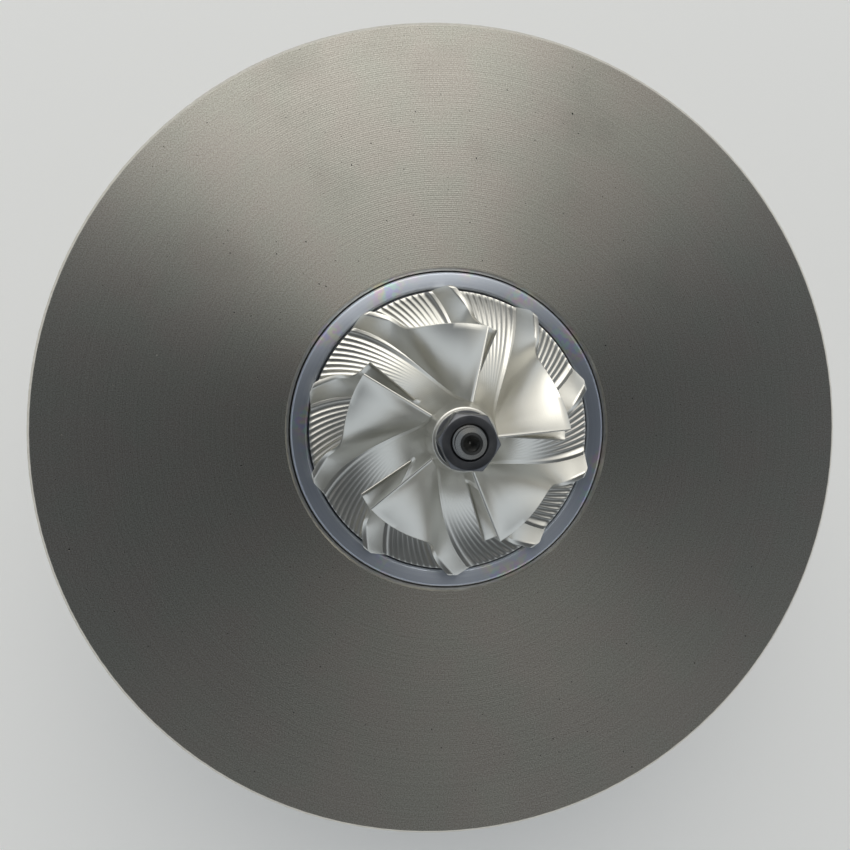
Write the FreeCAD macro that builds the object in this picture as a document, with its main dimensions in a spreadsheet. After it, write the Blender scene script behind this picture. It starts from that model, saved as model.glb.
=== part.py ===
import FreeCAD, Part
import math
import os
import re

import Sketcher
from FreeCAD import Placement, Rotation, Vector

# Turbocharger centre section with its compressor wheel uppermost.
#
# Frame: +Z runs along the rotor axis towards the compressor inlet and z = 0 is the
# machined face of the large flange, where the compressor cover seats. +Y points to the
# oil inlet and -Y to the oil drain. Lengths are millimetres, angles are degrees.

SIZES = {
    # flange and casting, compressor side
    "flange_radius": (70.5, "outside radius of the compressor-side flange"),
    "flange_thickness": (8.0, "flange thickness behind its machined face"),
    "rim_land_radius": (62.0, "inner radius of the clamp land on the back of the rim"),
    "rim_thickness": (6.0, "thickness of the rim at the clamp land"),
    "rim_chamfer": (0.6, "edge break on the flange rim"),
    "neck_wall": (5.9, "wall of the casting around the insert"),
    "neck_end": (17.0, "depth at which the neck starts to taper"),
    "waist_start": (23.0, "depth of the top of the waist"),
    "waist_wall": (5.0, "wall of the casting around the oil space"),
    "waist_rise": (11.5, "height of the bottom of the waist above the spigot face"),
    "cast_fillet": (3.0, "fillets between the cast forms"),
    # turbine end of the casting
    "clamp_lip": (4.0, "width of the turbine housing's seat round the spigot"),
    "clamp_thickness": (5.9, "thickness of the turbine-side clamp flange"),
    "clamp_slope": (1.2, "drop of the clamp flange's wedge face"),
    "spigot_radius": (31.0, "radius of the spigot that centres the turbine housing"),
    "spigot_height": (1.6, "height of that spigot"),
    "casting_depth": (50.0, "depth of the spigot's end face below the flange face"),
    "nose_wall": (2.0, "wall of the turbine seal nose round the oil chamber"),
    "nose_length": (5.2, "length of the seal nose beyond the spigot"),
    # oil supply and drain
    "port_depth": (31.5, "depth of the oil port axes below the flange face"),
    "inlet_boss_radius": (9.0, "radius of the oil inlet boss"),
    "inlet_face": (36.0, "distance of the inlet boss face from the axis"),
    "inlet_hole_radius": (4.5, "minor radius of the inlet thread"),
    "inlet_hole_length": (11.0, "length of the inlet thread"),
    "feed_radius": (1.6, "radius of the drilled oil feed"),
    "drain_face": (38.0, "distance of the drain pad face from the axis"),
    "drain_neck_radius": (10.4, "radius of the neck behind the drain pad"),
    "drain_ear_radius": (6.0, "radius of the drain pad round its screws"),
    "drain_pad_width": (21.0, "width of the drain pad at its middle"),
    "drain_pad_thickness": (8.0, "thickness of the drain pad"),
    "drain_hole_radius": (7.5, "radius of the oil drain"),
    "drain_screw_spacing": (38.0, "distance between the drain flange screws"),
    "drain_screw_radius": (2.5, "minor radius of the drain flange threads"),
    "drain_screw_depth": (7.0, "depth of the drain flange threads"),
    "sump_inner_radius": (11.0, "inner radius of the oil space round the bearing"),
    "sump_outer_radius": (20.0, "outer radius of the oil space round the bearing"),
    "sump_start": (22.8, "depth of the top of the oil space"),
    "sump_floor": (8.0, "thickness of the casting below the oil space"),
    "slot_width": (9.0, "width of the oil slots from the bearing ends"),
    # insert (seal plate)
    "insert_rim": (3.14, "width of the insert's face round the wheel recess"),
    "insert_fit": (0.06, "radial clearance of the insert in its bore"),
    "insert_height": (13.5, "height of the insert"),
    "insert_chamfer": (0.35, "edge break on the insert"),
    "seat_chamfer": (0.55, "edge break on the mouth of the insert bore"),
    "recess_clearance": (0.4, "gap between the wheel disc and the recess wall"),
    "back_gap": (0.5, "axial gap behind the wheel"),
    "seal_bore_radius": (7.5, "radius of the compressor seal bore"),
    "oil_chamber_radius": (15.0, "radius of the oil chamber under the seal"),
    "seal_land_end": (10.2, "depth of the lower end of the seal bore"),
    "ring_groove_depth": (1.8, "depth of the O-ring groove"),
    "ring_groove_width": (2.4, "width of the O-ring groove"),
    "ring_groove_centre": (9.0, "depth of the O-ring groove's middle below the face"),
    "insert_screw_count": (3, "number of screws that hold the insert"),
    "insert_screw_circle": (20.6, "radius of the insert screw circle"),
    "insert_screw_radius": (2.0, "thread radius of the insert screws"),
    "insert_screw_head_radius": (3.8, "head radius of the countersunk screws"),
    "insert_screw_length": (17.0, "length of the insert screws"),
    "insert_screw_sink": (1.0, "distance of the screw head below the recess floor"),
    "screw_clearance": (0.25, "radial clearance of the screws in the insert"),
    "drive_radius": (1.2, "radius of the socket in the screw heads"),
    "drive_depth": (1.6, "depth of the socket in the screw heads"),
    # thrust bearing group
    "thrust_bearing_radius": (16.5, "outside radius of the thrust bearing"),
    "thrust_bearing_thickness": (3.0, "thickness of the thrust bearing"),
    "thrust_gap": (0.05, "axial oil film gap on each side of the thrust bearing"),
    "film_gap": (0.04, "radial running clearance of the rotor in its bearings"),
    "seat_fit": (0.03, "radial clearance of parts that are seated in the casting"),
    "bore_fit": (0.01, "radial clearance of parts stacked on the shaft"),
    "pad_groove_width": (2.0, "width of the oil grooves in the thrust face"),
    "pad_groove_depth": (0.4, "depth of the oil grooves in the thrust face"),
    "pad_groove_count": (4, "number of oil grooves in the thrust face"),
    "deflector_thickness": (0.6, "sheet thickness of the oil deflector"),
    "deflector_bore": (8.3, "bore radius of the oil deflector"),
    "tongue_drop": (2.2, "length of the tongue below the deflector"),
    "pin_radius": (1.5, "radius of the bearing and thrust locating pins"),
    "thrust_pin_circle": (13.2, "distance of the thrust bearing pins from the axis"),
    "thrust_pin_length": (6.0, "length of the thrust bearing pins"),
    # rotor stack
    "stub_radius": (2.5, "radius of the shaft through the wheel"),
    "tip_height": (28.1, "height of the shaft end above the flange face"),
    "pilot_radius": (2.25, "radius of the plain end of the shaft above its thread"),
    "pilot_length": (1.75, "length of that plain end"),
    "tip_chamfer": (0.65, "chamfer on the shaft end"),
    "centre_hole_radius": (1.2, "radius of the centre hole in the shaft end"),
    "centre_hole_depth": (2.2, "depth of the centre hole in the shaft end"),
    "collar_land_radius": (7.3, "radius of the flinger sleeve in the seal bore"),
    "collar_ring_floor": (6.2, "floor radius of the seal ring groove in the sleeve"),
    "collar_ring_top": (6.6, "depth of the top of that groove"),
    "flinger_top": (10.7, "depth of the top of the flinger disc"),
    "flinger_thickness": (1.1, "thickness of the flinger disc"),
    "flinger_radius": (11.5, "radius of the flinger disc"),
    "thrust_face_radius": (7.6, "radius of the thrust faces on the rotor"),
    "spacer_radius": (4.6, "radius of the sleeve through the thrust bearing"),
    "washer_thickness": (2.0, "thickness of the thrust washer"),
    "seal_ring_width": (1.0, "width of the seal rings"),
    "seal_ring_wall": (1.0, "radial thickness of the seal rings"),
    "ring_side_gap": (0.06, "axial clearance of a seal ring in its groove"),
    "ring_end_gap": (0.4, "gap between the ends of a seal ring"),
    # journal bearing
    "journal_radius": (4.0, "radius of the shaft journals"),
    "bearing_wall": (3.0, "wall thickness of the journal bearing"),
    "bearing_end_gap": (0.5, "gap at each end of the journal bearing"),
    "thrust_chamber_radius": (10.0, "radius of the oil chamber under the thrust bearing"),
    "bearing_bore_start": (20.0, "depth of the top of the bearing bore"),
    "bearing_end_wall": (2.0, "height of the bearing bore's end above the spigot face"),
    "bearing_land": (7.5, "length of each running land of the bearing"),
    "bearing_relief": (0.6, "relief between the lands of the bearing"),
    "bearing_hole_radius": (0.9, "radius of the oil holes in the bearing"),
    "bearing_chamfer": (0.5, "edge break on the bearing ends"),
    # turbine seal, shield and wheel
    "turbine_seal_radius": (8.4, "radius of the turbine seal bore"),
    "turbine_seal_gap": (0.2, "radial gap of the shaft hub in the turbine seal bore"),
    "turbine_ring_land": (2.0, "land above the turbine seal ring groove"),
    "turbine_ring_floor": (7.0, "floor radius of the turbine seal ring groove"),
    "turbine_chamber_radius": (10.5, "radius of the oil chamber at the turbine end"),
    "turbine_chamber_length": (2.2, "height of that chamber"),
    "shield_thickness": (0.8, "sheet thickness of the heat shield"),
    "shield_margin": (1.0, "distance of the shield's rim from the spigot's edge"),
    "shield_cup_radius": (23.0, "radius of the cup of the heat shield"),
    "shield_bore_gap": (1.4, "radial gap between the shaft hub and the shield"),
    "shield_clearance": (0.3, "gap between the seal nose and the shield"),
    "shield_bend": (2.0, "outer bend radius of the shield's cup"),
    "turbine_gap": (0.9, "gap between the heat shield and the turbine wheel"),
    "turbine_radius": (22.5, "inlet radius of the turbine wheel"),
    "turbine_disc_radius": (20.5, "radius of the turbine wheel's back disc"),
    "turbine_exit_radius": (19.2, "outlet radius of the turbine wheel"),
    "turbine_rim": (1.6, "thickness of the turbine wheel's back disc at its edge"),
    "turbine_inlet_width": (6.2, "width of the turbine blades at their inlet"),
    "turbine_height": (19.0, "height of the turbine wheel, disc to outlet"),
    "turbine_hub_radius": (5.8, "hub radius at the turbine outlet"),
    "turbine_nut_radius": (5.2, "corner radius of the turbine wheel's cast hexagon"),
    "turbine_nut_height": (4.5, "height of the turbine wheel's cast hexagon"),
    "turbine_blade_count": (11, "number of turbine blades"),
    "turbine_twist": (46.0, "turn of the turbine blades towards their outlet"),
    "turbine_twist_power": (2.2, "how late the turbine blades turn"),
    "turbine_tip_power": (1.6, "how soon the turbine blade tips reach the outlet radius"),
    "turbine_blade_tip": (0.7, "blade thickness at the turbine blade tips"),
    "turbine_blade_root": (1.5, "blade thickness at the turbine blade roots"),
    # compressor wheel
    "wheel_disc_radius": (24.0, "radius of the compressor wheel's back disc"),
    "wheel_exit_height": (0.5, "height of the disc's front edge above the flange"),
    "wheel_rim_thickness": (1.5, "thickness of the disc at its rim"),
    "wheel_boss_radius": (6.5, "radius of the boss on the back of the wheel"),
    "wheel_boss_depth": (5.0, "depth of the boss face below the flange face"),
    "wheel_hub_height": (16.9, "height at which the hub curve starts"),
    "wheel_hub_radius": (5.45, "hub radius at the leading edges"),
    "wheel_nose_radius": (4.85, "radius of the wheel nose"),
    "wheel_nose_height": (21.3, "height of the wheel's nose face"),
    "wheel_nose_step": (0.4, "width and height of the step round the nose face"),
    "exducer_radius": (24.86, "radius of the blade tips at the outlet"),
    "exducer_height": (3.2, "height of the blade tips at the outlet"),
    "inducer_radius": (17.74, "radius of the blade tips at the inlet"),
    "inducer_height": (14.6, "height of the blade tips at the inlet"),
    "tip_start_angle": (75.0, "angle of the first blade's tip at the inlet"),
    "tip_wrap": (51.1, "turn of the blade tips from inlet to outlet"),
    "root_start_angle": (71.1, "angle of the first blade's root at the inlet"),
    "root_wrap": (62.9, "turn of the blade roots from inlet to outlet"),
    "root_fullness": (0.66, "how much of the root's turn comes early"),
    "root_skew": (0.35, "how far that early turn leans to the inlet"),
    "tip_delay": (1.5, "power that crowds the tip curve's points to the inlet"),
    "tip_radius_power": (0.8, "fullness of the tip outline in radius"),
    "tip_height_power": (0.72, "fullness of the tip outline in height"),
    "tip_fullness": (1.4, "how much of the tip's turn comes early"),
    "tip_skew": (1.52, "how far that early turn leans to the inlet"),
    "tip_wave": (0.43, "slight wave in the tip's turn"),
    "blade_pair_count": (5, "number of full blades, and of splitter blades"),
    "splitter_start": (0.342, "share of the full blade that a splitter leaves out"),
    "blade_tip_thickness": (0.55, "blade thickness at the tips"),
    "blade_root_thickness": (1.2, "blade thickness at the roots"),
    "blade_edge_share": (0.5, "thickness of the leading edge as a share of the blade"),
    "blade_edge_run": (0.12, "share of the blade over which it reaches full thickness"),
    "wheel_back_land": (0.85, "inner radius of the flat on the wheel's back, as a share"),
    # lock nut
    "nut_across_flats": (8.0, "width of the lock nut across its flats"),
    "nut_height": (4.9, "height of the lock nut with its collar"),
    "nut_collar_radius": (4.4, "radius of the nut's collar"),
    "nut_collar_height": (1.1, "height of the nut's collar"),
    "nut_face_radius": (3.55, "radius of the nut's flat top face"),
    "nut_chamfer_drop": (0.55, "drop of the nut's top chamfer at its corners"),
    "nut_sink_radius": (2.75, "radius of the countersink in the nut"),
    "nut_angle": (-5.0, "angle of the first corner of the nut"),
}

# Depths and radii that follow from the sizes above, written as sheet expressions.
RECESS_RADIUS = "wheel_disc_radius + recess_clearance"
INSERT_RADIUS = RECESS_RADIUS + " + insert_rim"
INSERT_SEAT = INSERT_RADIUS + " + insert_fit"
NECK_RADIUS = INSERT_SEAT + " + neck_wall"
WAIST_RADIUS = "sump_outer_radius + waist_wall"
CLAMP_RADIUS = "spigot_radius + clamp_lip"
SPIGOT_FACE = "-casting_depth + spigot_height"
SUMP_END = "-casting_depth + sump_floor"
DRAIN_START = "sqrt(sump_outer_radius ^ 2 - drain_hole_radius ^ 2) - 1"
RECESS_EDGE = "wheel_exit_height - wheel_rim_thickness - back_gap"
RECESS_FLOOR = "-wheel_boss_depth - back_gap"
THRUST_TOP = "-insert_height"
THRUST_BOTTOM = "-insert_height - thrust_bearing_thickness"
THRUST_SEAT_RADIUS = "thrust_bearing_radius + seat_fit"
SPACER_TOP = "-insert_height + thrust_gap"
SPACER_BOTTOM = THRUST_BOTTOM + " - thrust_gap"
WASHER_BOTTOM = SPACER_BOTTOM + " - washer_thickness"
COLLAR_RING_BOTTOM = "-collar_ring_top - seal_ring_width - 2 * ring_side_gap"
BEARING_BORE = "journal_radius + film_gap"
BEARING_RADIUS = "journal_radius + film_gap + bearing_wall"
BEARING_SEAT = "journal_radius + film_gap + bearing_wall + seat_fit"
BEARING_BORE_END = "-casting_depth + bearing_end_wall"
BEARING_MIDDLE = "(-bearing_bore_start - casting_depth + bearing_end_wall) / 2"
BEARING_TOP = "-bearing_bore_start - bearing_end_gap"
BEARING_BOTTOM = BEARING_BORE_END + " + bearing_end_gap"
TURBINE_CHAMBER_END = BEARING_BORE_END + " - turbine_chamber_length"
NOSE_RADIUS = "turbine_chamber_radius + nose_wall"
NOSE_END = "-casting_depth - nose_length"
SHIELD_INNER = NOSE_END + " - shield_clearance"
SHIELD_OUTER = SHIELD_INNER + " - shield_thickness"
TURBINE_BACK = SHIELD_OUTER + " - turbine_gap"
TURBINE_OUTLET = TURBINE_BACK + " - turbine_height"
TURBINE_RING_TOP = TURBINE_CHAMBER_END + " - turbine_ring_land"
TURBINE_RING_BOTTOM = TURBINE_RING_TOP + " - seal_ring_width - 2 * ring_side_gap"
SHAFT_HUB_RADIUS = "turbine_seal_radius - turbine_seal_gap"
SHIELD_BORE = SHAFT_HUB_RADIUS + " + shield_bore_gap"
SHIELD_RADIUS = "spigot_radius - shield_margin"
NUT_BOTTOM = "wheel_nose_height"
NUT_TOP = "wheel_nose_height + nut_height"

document = FreeCAD.newDocument("turbocharger_centre_section")
sheet = document.addObject("Spreadsheet::Sheet", "Sizes")
for row, (alias, (value, meaning)) in enumerate(SIZES.items(), start=1):
    sheet.set(f"A{row}", meaning)
    sheet.set(f"B{row}", str(value))
    sheet.setAlias(f"B{row}", alias)
document.recompute()


def bound(expression):
    """Return an expression in which each size is read from the sheet."""
    def prefixed(word):
        return f"Sizes.{word.group()}" if word.group() in SIZES else word.group()

    return re.sub(r"[a-z_]+", prefixed, expression)


def number(expression):
    """Return the present value of an expression made of the sheet's sizes."""
    return float(sheet.evalExpression(expression))


# ---------------------------------------------------------------- modelling helpers


def turned(name, profile):
    """Return a body turned about Z from a closed profile.

    Each point of the profile is a pair of expressions, radius and height, and both are
    bound to the sheet by dimensions of the sketch.
    """
    body = document.addObject("PartDesign::Body", name)
    sketch = body.newObject("Sketcher::SketchObject", name + "_profile")
    planes = {feature.Role: feature for feature in body.Origin.OriginFeatures}
    sketch.AttachmentSupport = [(planes["XZ_Plane"], "")]
    sketch.MapMode = "FlatFace"
    corners = [Vector(number(radius), number(height), 0) for radius, height in profile]
    for here, there in zip(corners, corners[1:] + corners[:1]):
        sketch.addGeometry(Part.LineSegment(here, there), False)
    for line in range(len(corners)):
        following = (line + 1) % len(corners)
        sketch.addConstraint(Sketcher.Constraint("Coincident", line, 2, following, 1))
    for line, point in enumerate(profile):
        for kind, expression in zip(("DistanceX", "DistanceY"), point):
            place = number(expression)
            index = sketch.addConstraint(
                Sketcher.Constraint(kind, -1, 1, line, 1, place)
            )
            sketch.setExpression(f"Constraints[{index}]", bound(expression))
    turn = body.newObject("PartDesign::Revolution", name + "_turn")
    turn.Profile = sketch
    turn.ReferenceAxis = (sketch, ["V_Axis"])
    turn.Angle = 360
    body.Tip = turn
    return body


def filleted(body, radius, rings):
    """Round circular edges of a turned body, each named by its radius and height."""
    document.recompute()
    base = body.Tip
    wanted = [(number(ring), number(height)) for ring, height in rings]
    names = [
        f"Edge{index}" for index, edge in enumerate(base.Shape.Edges, start=1)
        if isinstance(edge.Curve, Part.Circle) and any(
            abs(edge.Curve.Radius - ring) < 1e-4 and abs(edge.Curve.Center.z - height) < 1e-4
            for ring, height in wanted
        )
    ]
    fillet = body.newObject("PartDesign::Fillet", body.Name + "_fillet")
    fillet.Base = (base, names)
    fillet.setExpression("Radius", bound(radius))
    body.Tip = fillet
    return body


def placed(item, position=("0", "0", "0"), axis=Vector(0, 0, 1), turn=0.0):
    """Turn an object about an axis and bind its position to the sheet."""
    item.Placement = Placement(Vector(*map(number, position)), Rotation(axis, turn))
    for letter, expression in zip("xyz", position):
        item.setExpression(f"Placement.Base.{letter}", bound(expression))
    return item


def rod(name, radius, length, position=("0", "0", "0"), axis=Vector(0, 0, 1), turn=0.0):
    """Return a cylinder whose radius, length and position are bound to the sheet."""
    item = document.addObject("Part::Cylinder", name)
    item.setExpression("Radius", bound(radius))
    item.setExpression("Height", bound(length))
    return placed(item, position, axis, turn)


def block(name, extents, position):
    """Return a box whose extents and low corner are bound to the sheet."""
    item = document.addObject("Part::Box", name)
    for side, expression in zip(("Length", "Width", "Height"), extents):
        item.setExpression(side, bound(expression))
    return placed(item, position)


def fused(name, items):
    """Return the union of several objects."""
    item = document.addObject("Part::MultiFuse", name)
    item.Shapes = items
    return item


def cut(name, base, tools):
    """Return an object with several tools cut out of it."""
    item = document.addObject("Part::Cut", name)
    item.Base = base
    item.Tool = tools[0] if len(tools) == 1 else fused(name + "_tools", tools)
    return item


def common(name, items):
    """Return what several objects have in common."""
    item = document.addObject("Part::MultiCommon", name)
    item.Shapes = items
    return item


def group(name, items):
    """Return several separate solids as one object."""
    item = document.addObject("Part::Compound", name)
    item.Links = items
    return item


def solid_feature(name, shape):
    """Return a feature that holds a shape worked out from the sheet's values."""
    item = document.addObject("Part::Feature", name)
    item.Shape = shape
    return item


ALONG_PLUS_Y = dict(axis=Vector(1, 0, 0), turn=-90)
ALONG_MINUS_Y = dict(axis=Vector(1, 0, 0), turn=90)


# ---------------------------------------------------------------- casting


def bearing_housing():
    """Cast iron housing with the compressor flange, oil ports and turbine flange."""
    blank = turned("housing_casting", [
        ("0", "0"),
        ("flange_radius - rim_chamfer", "0"),
        ("flange_radius", "-rim_chamfer"),
        ("flange_radius", "-rim_thickness + rim_chamfer"),
        ("flange_radius - rim_chamfer", "-rim_thickness"),
        ("rim_land_radius", "-rim_thickness"),
        ("rim_land_radius - (flange_thickness - rim_thickness)", "-flange_thickness"),
        (NECK_RADIUS, "-flange_thickness"),
        (NECK_RADIUS, "-neck_end"),
        (WAIST_RADIUS, "-waist_start"),
        (WAIST_RADIUS, "-casting_depth + waist_rise"),
        (CLAMP_RADIUS, SPIGOT_FACE + " + clamp_thickness"),
        (CLAMP_RADIUS, SPIGOT_FACE + " + clamp_slope"),
        (CLAMP_RADIUS + " - clamp_slope", SPIGOT_FACE),
        ("spigot_radius", SPIGOT_FACE),
        ("spigot_radius", "-casting_depth"),
        (NOSE_RADIUS, "-casting_depth"),
        (NOSE_RADIUS, NOSE_END),
        ("0", NOSE_END),
    ])
    casting = filleted(blank, "cast_fillet", [
        (NECK_RADIUS, "-flange_thickness"),
        (NECK_RADIUS, "-neck_end"),
        (WAIST_RADIUS, "-waist_start"),
        (WAIST_RADIUS, "-casting_depth + waist_rise"),
    ])
    inlet = rod(
        "inlet_boss", "inlet_boss_radius", "inlet_face",
        ("0", "0", "-port_depth"), **ALONG_PLUS_Y,
    )
    drain_neck = rod(
        "drain_neck", "drain_neck_radius", "drain_face - drain_pad_thickness / 2",
        ("0", "0", "-port_depth"), **ALONG_MINUS_Y,
    )
    pad = oval_pad(
        "drain_pad", "drain_pad_width / 2", "drain_ear_radius",
        "drain_screw_spacing", "drain_pad_thickness",
    )
    placed(pad, ("0", "-drain_face", "-port_depth"), **ALONG_PLUS_Y)
    raw = fused("housing_raw", [casting, inlet, drain_neck, pad])

    bore = turned("housing_bore", [
        ("0", "seat_chamfer"),
        (INSERT_SEAT + " + 2 * seat_chamfer", "seat_chamfer"),
        (INSERT_SEAT, "-seat_chamfer"),
        (INSERT_SEAT, THRUST_TOP),
        (THRUST_SEAT_RADIUS, THRUST_TOP),
        (THRUST_SEAT_RADIUS, THRUST_BOTTOM),
        ("thrust_chamber_radius", THRUST_BOTTOM),
        ("thrust_chamber_radius", "-bearing_bore_start"),
        (BEARING_SEAT, "-bearing_bore_start"),
        (BEARING_SEAT, BEARING_BORE_END),
        ("turbine_chamber_radius", BEARING_BORE_END),
        ("turbine_chamber_radius", TURBINE_CHAMBER_END),
        ("turbine_seal_radius", TURBINE_CHAMBER_END),
        ("turbine_seal_radius", NOSE_END + " - seat_chamfer"),
        ("0", NOSE_END + " - seat_chamfer"),
    ])
    sump = turned("housing_sump", [
        ("sump_inner_radius", "-sump_start - (sump_outer_radius - sump_inner_radius) / 3"),
        ("(2 * sump_inner_radius + sump_outer_radius) / 3", "-sump_start"),
        ("sump_outer_radius", "-sump_start"),
        ("sump_outer_radius", SUMP_END),
        ("sump_inner_radius", SUMP_END),
    ])
    drain = rod(
        "drain_hole", "drain_hole_radius", f"drain_face - ({DRAIN_START})",
        ("0", f"-({DRAIN_START})", "-port_depth"), **ALONG_MINUS_Y,
    )
    inlet_thread = rod(
        "inlet_thread", "inlet_hole_radius", "inlet_hole_length",
        ("0", "inlet_face - inlet_hole_length", "-port_depth"), **ALONG_PLUS_Y,
    )
    feed = rod(
        "oil_feed", "feed_radius", "inlet_face", ("0", "0", "-port_depth"), **ALONG_PLUS_Y,
    )
    slots = [
        block(
            f"{label}_oil_slot",
            ("slot_width", "(sump_inner_radius + sump_outer_radius) / 2", height),
            ("-slot_width / 2", "-(sump_inner_radius + sump_outer_radius) / 2", low),
        )
        for label, height, low in (
            ("thrust", f"sump_start + ({THRUST_BOTTOM}) + 1", "-sump_start - 1"),
            ("turbine", f"({SUMP_END}) - ({TURBINE_CHAMBER_END}) + 1", TURBINE_CHAMBER_END),
        )
    ]
    drain_threads = [
        rod(
            f"drain_thread_{label}", "drain_screw_radius", "drain_screw_depth",
            (f"{side} * drain_screw_spacing / 2", "-drain_face + drain_screw_depth",
             "-port_depth"),
            **ALONG_MINUS_Y,
        )
        for label, side in (("left", -1), ("right", 1))
    ]
    pin_hole = rod(
        "bearing_pin_hole", "pin_radius", "sump_inner_radius",
        ("0", "0", BEARING_MIDDLE), **ALONG_MINUS_Y,
    )
    tools = [bore, sump, drain, inlet_thread, feed, pin_hole] + slots + drain_threads
    tools += screw_holes("housing_screw_hole", "insert_screw_radius")
    tools += thrust_pin_rods("housing_thrust_pin_hole")
    return cut("bearing_housing", raw, tools)


def oval_pad(name, middle_radius, ear_radius, spacing, thickness):
    """Return a two-eared flange pad: three arcs joined by four tangent lines.

    It lies in the XY plane with its ears along X and rises along +Z.
    """
    middle, ear, reach = number(middle_radius), number(ear_radius), number(spacing) / 2
    tilt = math.asin((middle - ear) / reach)
    lean = Vector(math.sin(tilt), math.cos(tilt), 0)
    corners = []
    for across, along in ((1, 1), (-1, 1), (-1, -1), (1, -1)):
        normal = Vector(across * lean.x, along * lean.y, 0)
        near = normal * middle
        far = Vector(across * reach, 0, 0) + normal * ear
        corners += [far, near] if across * along > 0 else [near, far]
    tops = [Vector(0, middle, 0), Vector(-reach - ear, 0, 0),
            Vector(0, -middle, 0), Vector(reach + ear, 0, 0)]
    edges = []
    for index, top in enumerate(tops):
        start, end = corners[2 * index + 1], corners[(2 * index + 2) % 8]
        edges.append(Part.makeLine(corners[2 * index], start))
        edges.append(Part.Arc(start, top, end).toShape())
    face = Part.Face(Part.Wire(edges))
    return solid_feature(name, face.extrude(Vector(0, 0, number(thickness))))


def screw_seat_height():
    """Height of the countersunk heads, from the cone of the recess at their circle."""
    share = "(insert_screw_circle - seal_bore_radius) / (wheel_disc_radius - seal_bore_radius)"
    rise = f"(({RECESS_EDGE}) - ({RECESS_FLOOR})) * {share}"
    return f"({RECESS_FLOOR}) + {rise} - insert_screw_sink"


def screw_angles():
    """Angles of the insert screws round the axis."""
    count = int(number("insert_screw_count"))
    return [90.0 + 360.0 / count * index for index in range(count)]


def around(radius, angle, height):
    """Position at a radius and an angle, as expressions bound to the sheet."""
    cosine = math.cos(math.radians(angle))
    sine = math.sin(math.radians(angle))
    return (f"{radius} * {cosine:.9f}", f"{radius} * {sine:.9f}", height)


def screw_holes(name, radius):
    """Round tools along the axes of the insert screws."""
    low = f"{screw_seat_height()} - insert_screw_length"
    return [
        rod(
            f"{name}_{index}", radius, "insert_screw_length + insert_screw_head_radius",
            around("insert_screw_circle", angle, low),
        )
        for index, angle in enumerate(screw_angles(), start=1)
    ]


def thrust_pin_rods(name):
    """Round rods where the thrust bearing is pinned to the casting."""
    low = f"{THRUST_TOP} - thrust_pin_length"
    return [
        rod(
            f"{name}_{index}", "pin_radius", "thrust_pin_length",
            around("thrust_pin_circle", angle, low),
        )
        for index, angle in enumerate((0.0, 180.0), start=1)
    ]


# ---------------------------------------------------------------- insert and its seals


def insert():
    """Turned aluminium insert: wheel recess above, seal bore and oil chamber below."""
    groove_top = "-ring_groove_centre + ring_groove_width / 2"
    groove_bottom = "-ring_groove_centre - ring_groove_width / 2"
    groove_floor = INSERT_SEAT + " - ring_groove_depth"
    blank = turned("insert_turning", [
        (RECESS_RADIUS, RECESS_EDGE),
        (RECESS_RADIUS, "-insert_chamfer"),
        (RECESS_RADIUS + " + insert_chamfer", "0"),
        (INSERT_RADIUS + " - insert_chamfer", "0"),
        (INSERT_RADIUS, "-insert_chamfer"),
        (INSERT_RADIUS, groove_top),
        (groove_floor, groove_top),
        (groove_floor, groove_bottom),
        (INSERT_RADIUS, groove_bottom),
        (INSERT_RADIUS, THRUST_TOP + " + insert_chamfer"),
        (INSERT_RADIUS + " - insert_chamfer", THRUST_TOP),
        ("oil_chamber_radius + 2", THRUST_TOP),
        ("oil_chamber_radius + 2", THRUST_TOP + " + deflector_thickness"),
        ("oil_chamber_radius", THRUST_TOP + " + deflector_thickness"),
        ("oil_chamber_radius", "-seal_land_end"),
        ("seal_bore_radius", "-seal_land_end"),
        ("seal_bore_radius", RECESS_FLOOR),
        ("wheel_boss_radius + 2 * back_gap + 1", RECESS_FLOOR),
    ])
    heads = [
        placed(item, around("insert_screw_circle", angle, screw_seat_height()))
        for item, angle in zip(screw_head_sinks(), screw_angles())
    ]
    shanks = screw_holes("insert_screw_hole", "insert_screw_radius + screw_clearance")
    return cut("insert", blank, heads + shanks)


def screw_head_sinks():
    """Countersinks for the insert screws, open upwards to the recess."""
    return [
        turned(f"screw_sink_{index}", [
            ("0", "-insert_screw_head_radius"),
            ("insert_screw_head_radius + screw_clearance", "0"),
            ("insert_screw_head_radius + screw_clearance", "insert_screw_head_radius"),
            ("0", "insert_screw_head_radius"),
        ])
        for index in range(1, len(screw_angles()) + 1)
    ]


def insert_screws():
    """Countersunk screws that hold the insert, hidden behind the wheel."""
    screws = []
    for index, angle in enumerate(screw_angles(), start=1):
        blank = turned(f"insert_screw_{index}", [
            ("0", "0"),
            ("insert_screw_head_radius - screw_clearance", "0"),
            ("insert_screw_radius",
             "insert_screw_radius + screw_clearance - insert_screw_head_radius"),
            ("insert_screw_radius", "-insert_screw_length + screw_clearance"),
            ("0", "-insert_screw_length + screw_clearance"),
        ])
        socket = document.addObject("Part::Prism", f"insert_screw_socket_{index}")
        socket.Polygon = 6
        socket.setExpression("Circumradius", bound("drive_radius"))
        socket.setExpression("Height", bound("drive_depth"))
        placed(socket, ("0", "0", "-drive_depth"))
        screw = cut(f"insert_screw_with_socket_{index}", blank, [socket])
        screws.append(placed(screw, around("insert_screw_circle", angle, screw_seat_height())))
    return group("insert_screws", screws)


def insert_o_ring():
    """Rubber ring between the insert and its bore."""
    ring = document.addObject("Part::Torus", "insert_o_ring")
    ring.setExpression("Radius1", bound(INSERT_SEAT + " - ring_groove_depth / 2"))
    ring.setExpression("Radius2", bound("ring_groove_depth / 2"))
    return placed(ring, ("0", "0", "-ring_groove_centre"))


# ---------------------------------------------------------------- bearings


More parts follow.
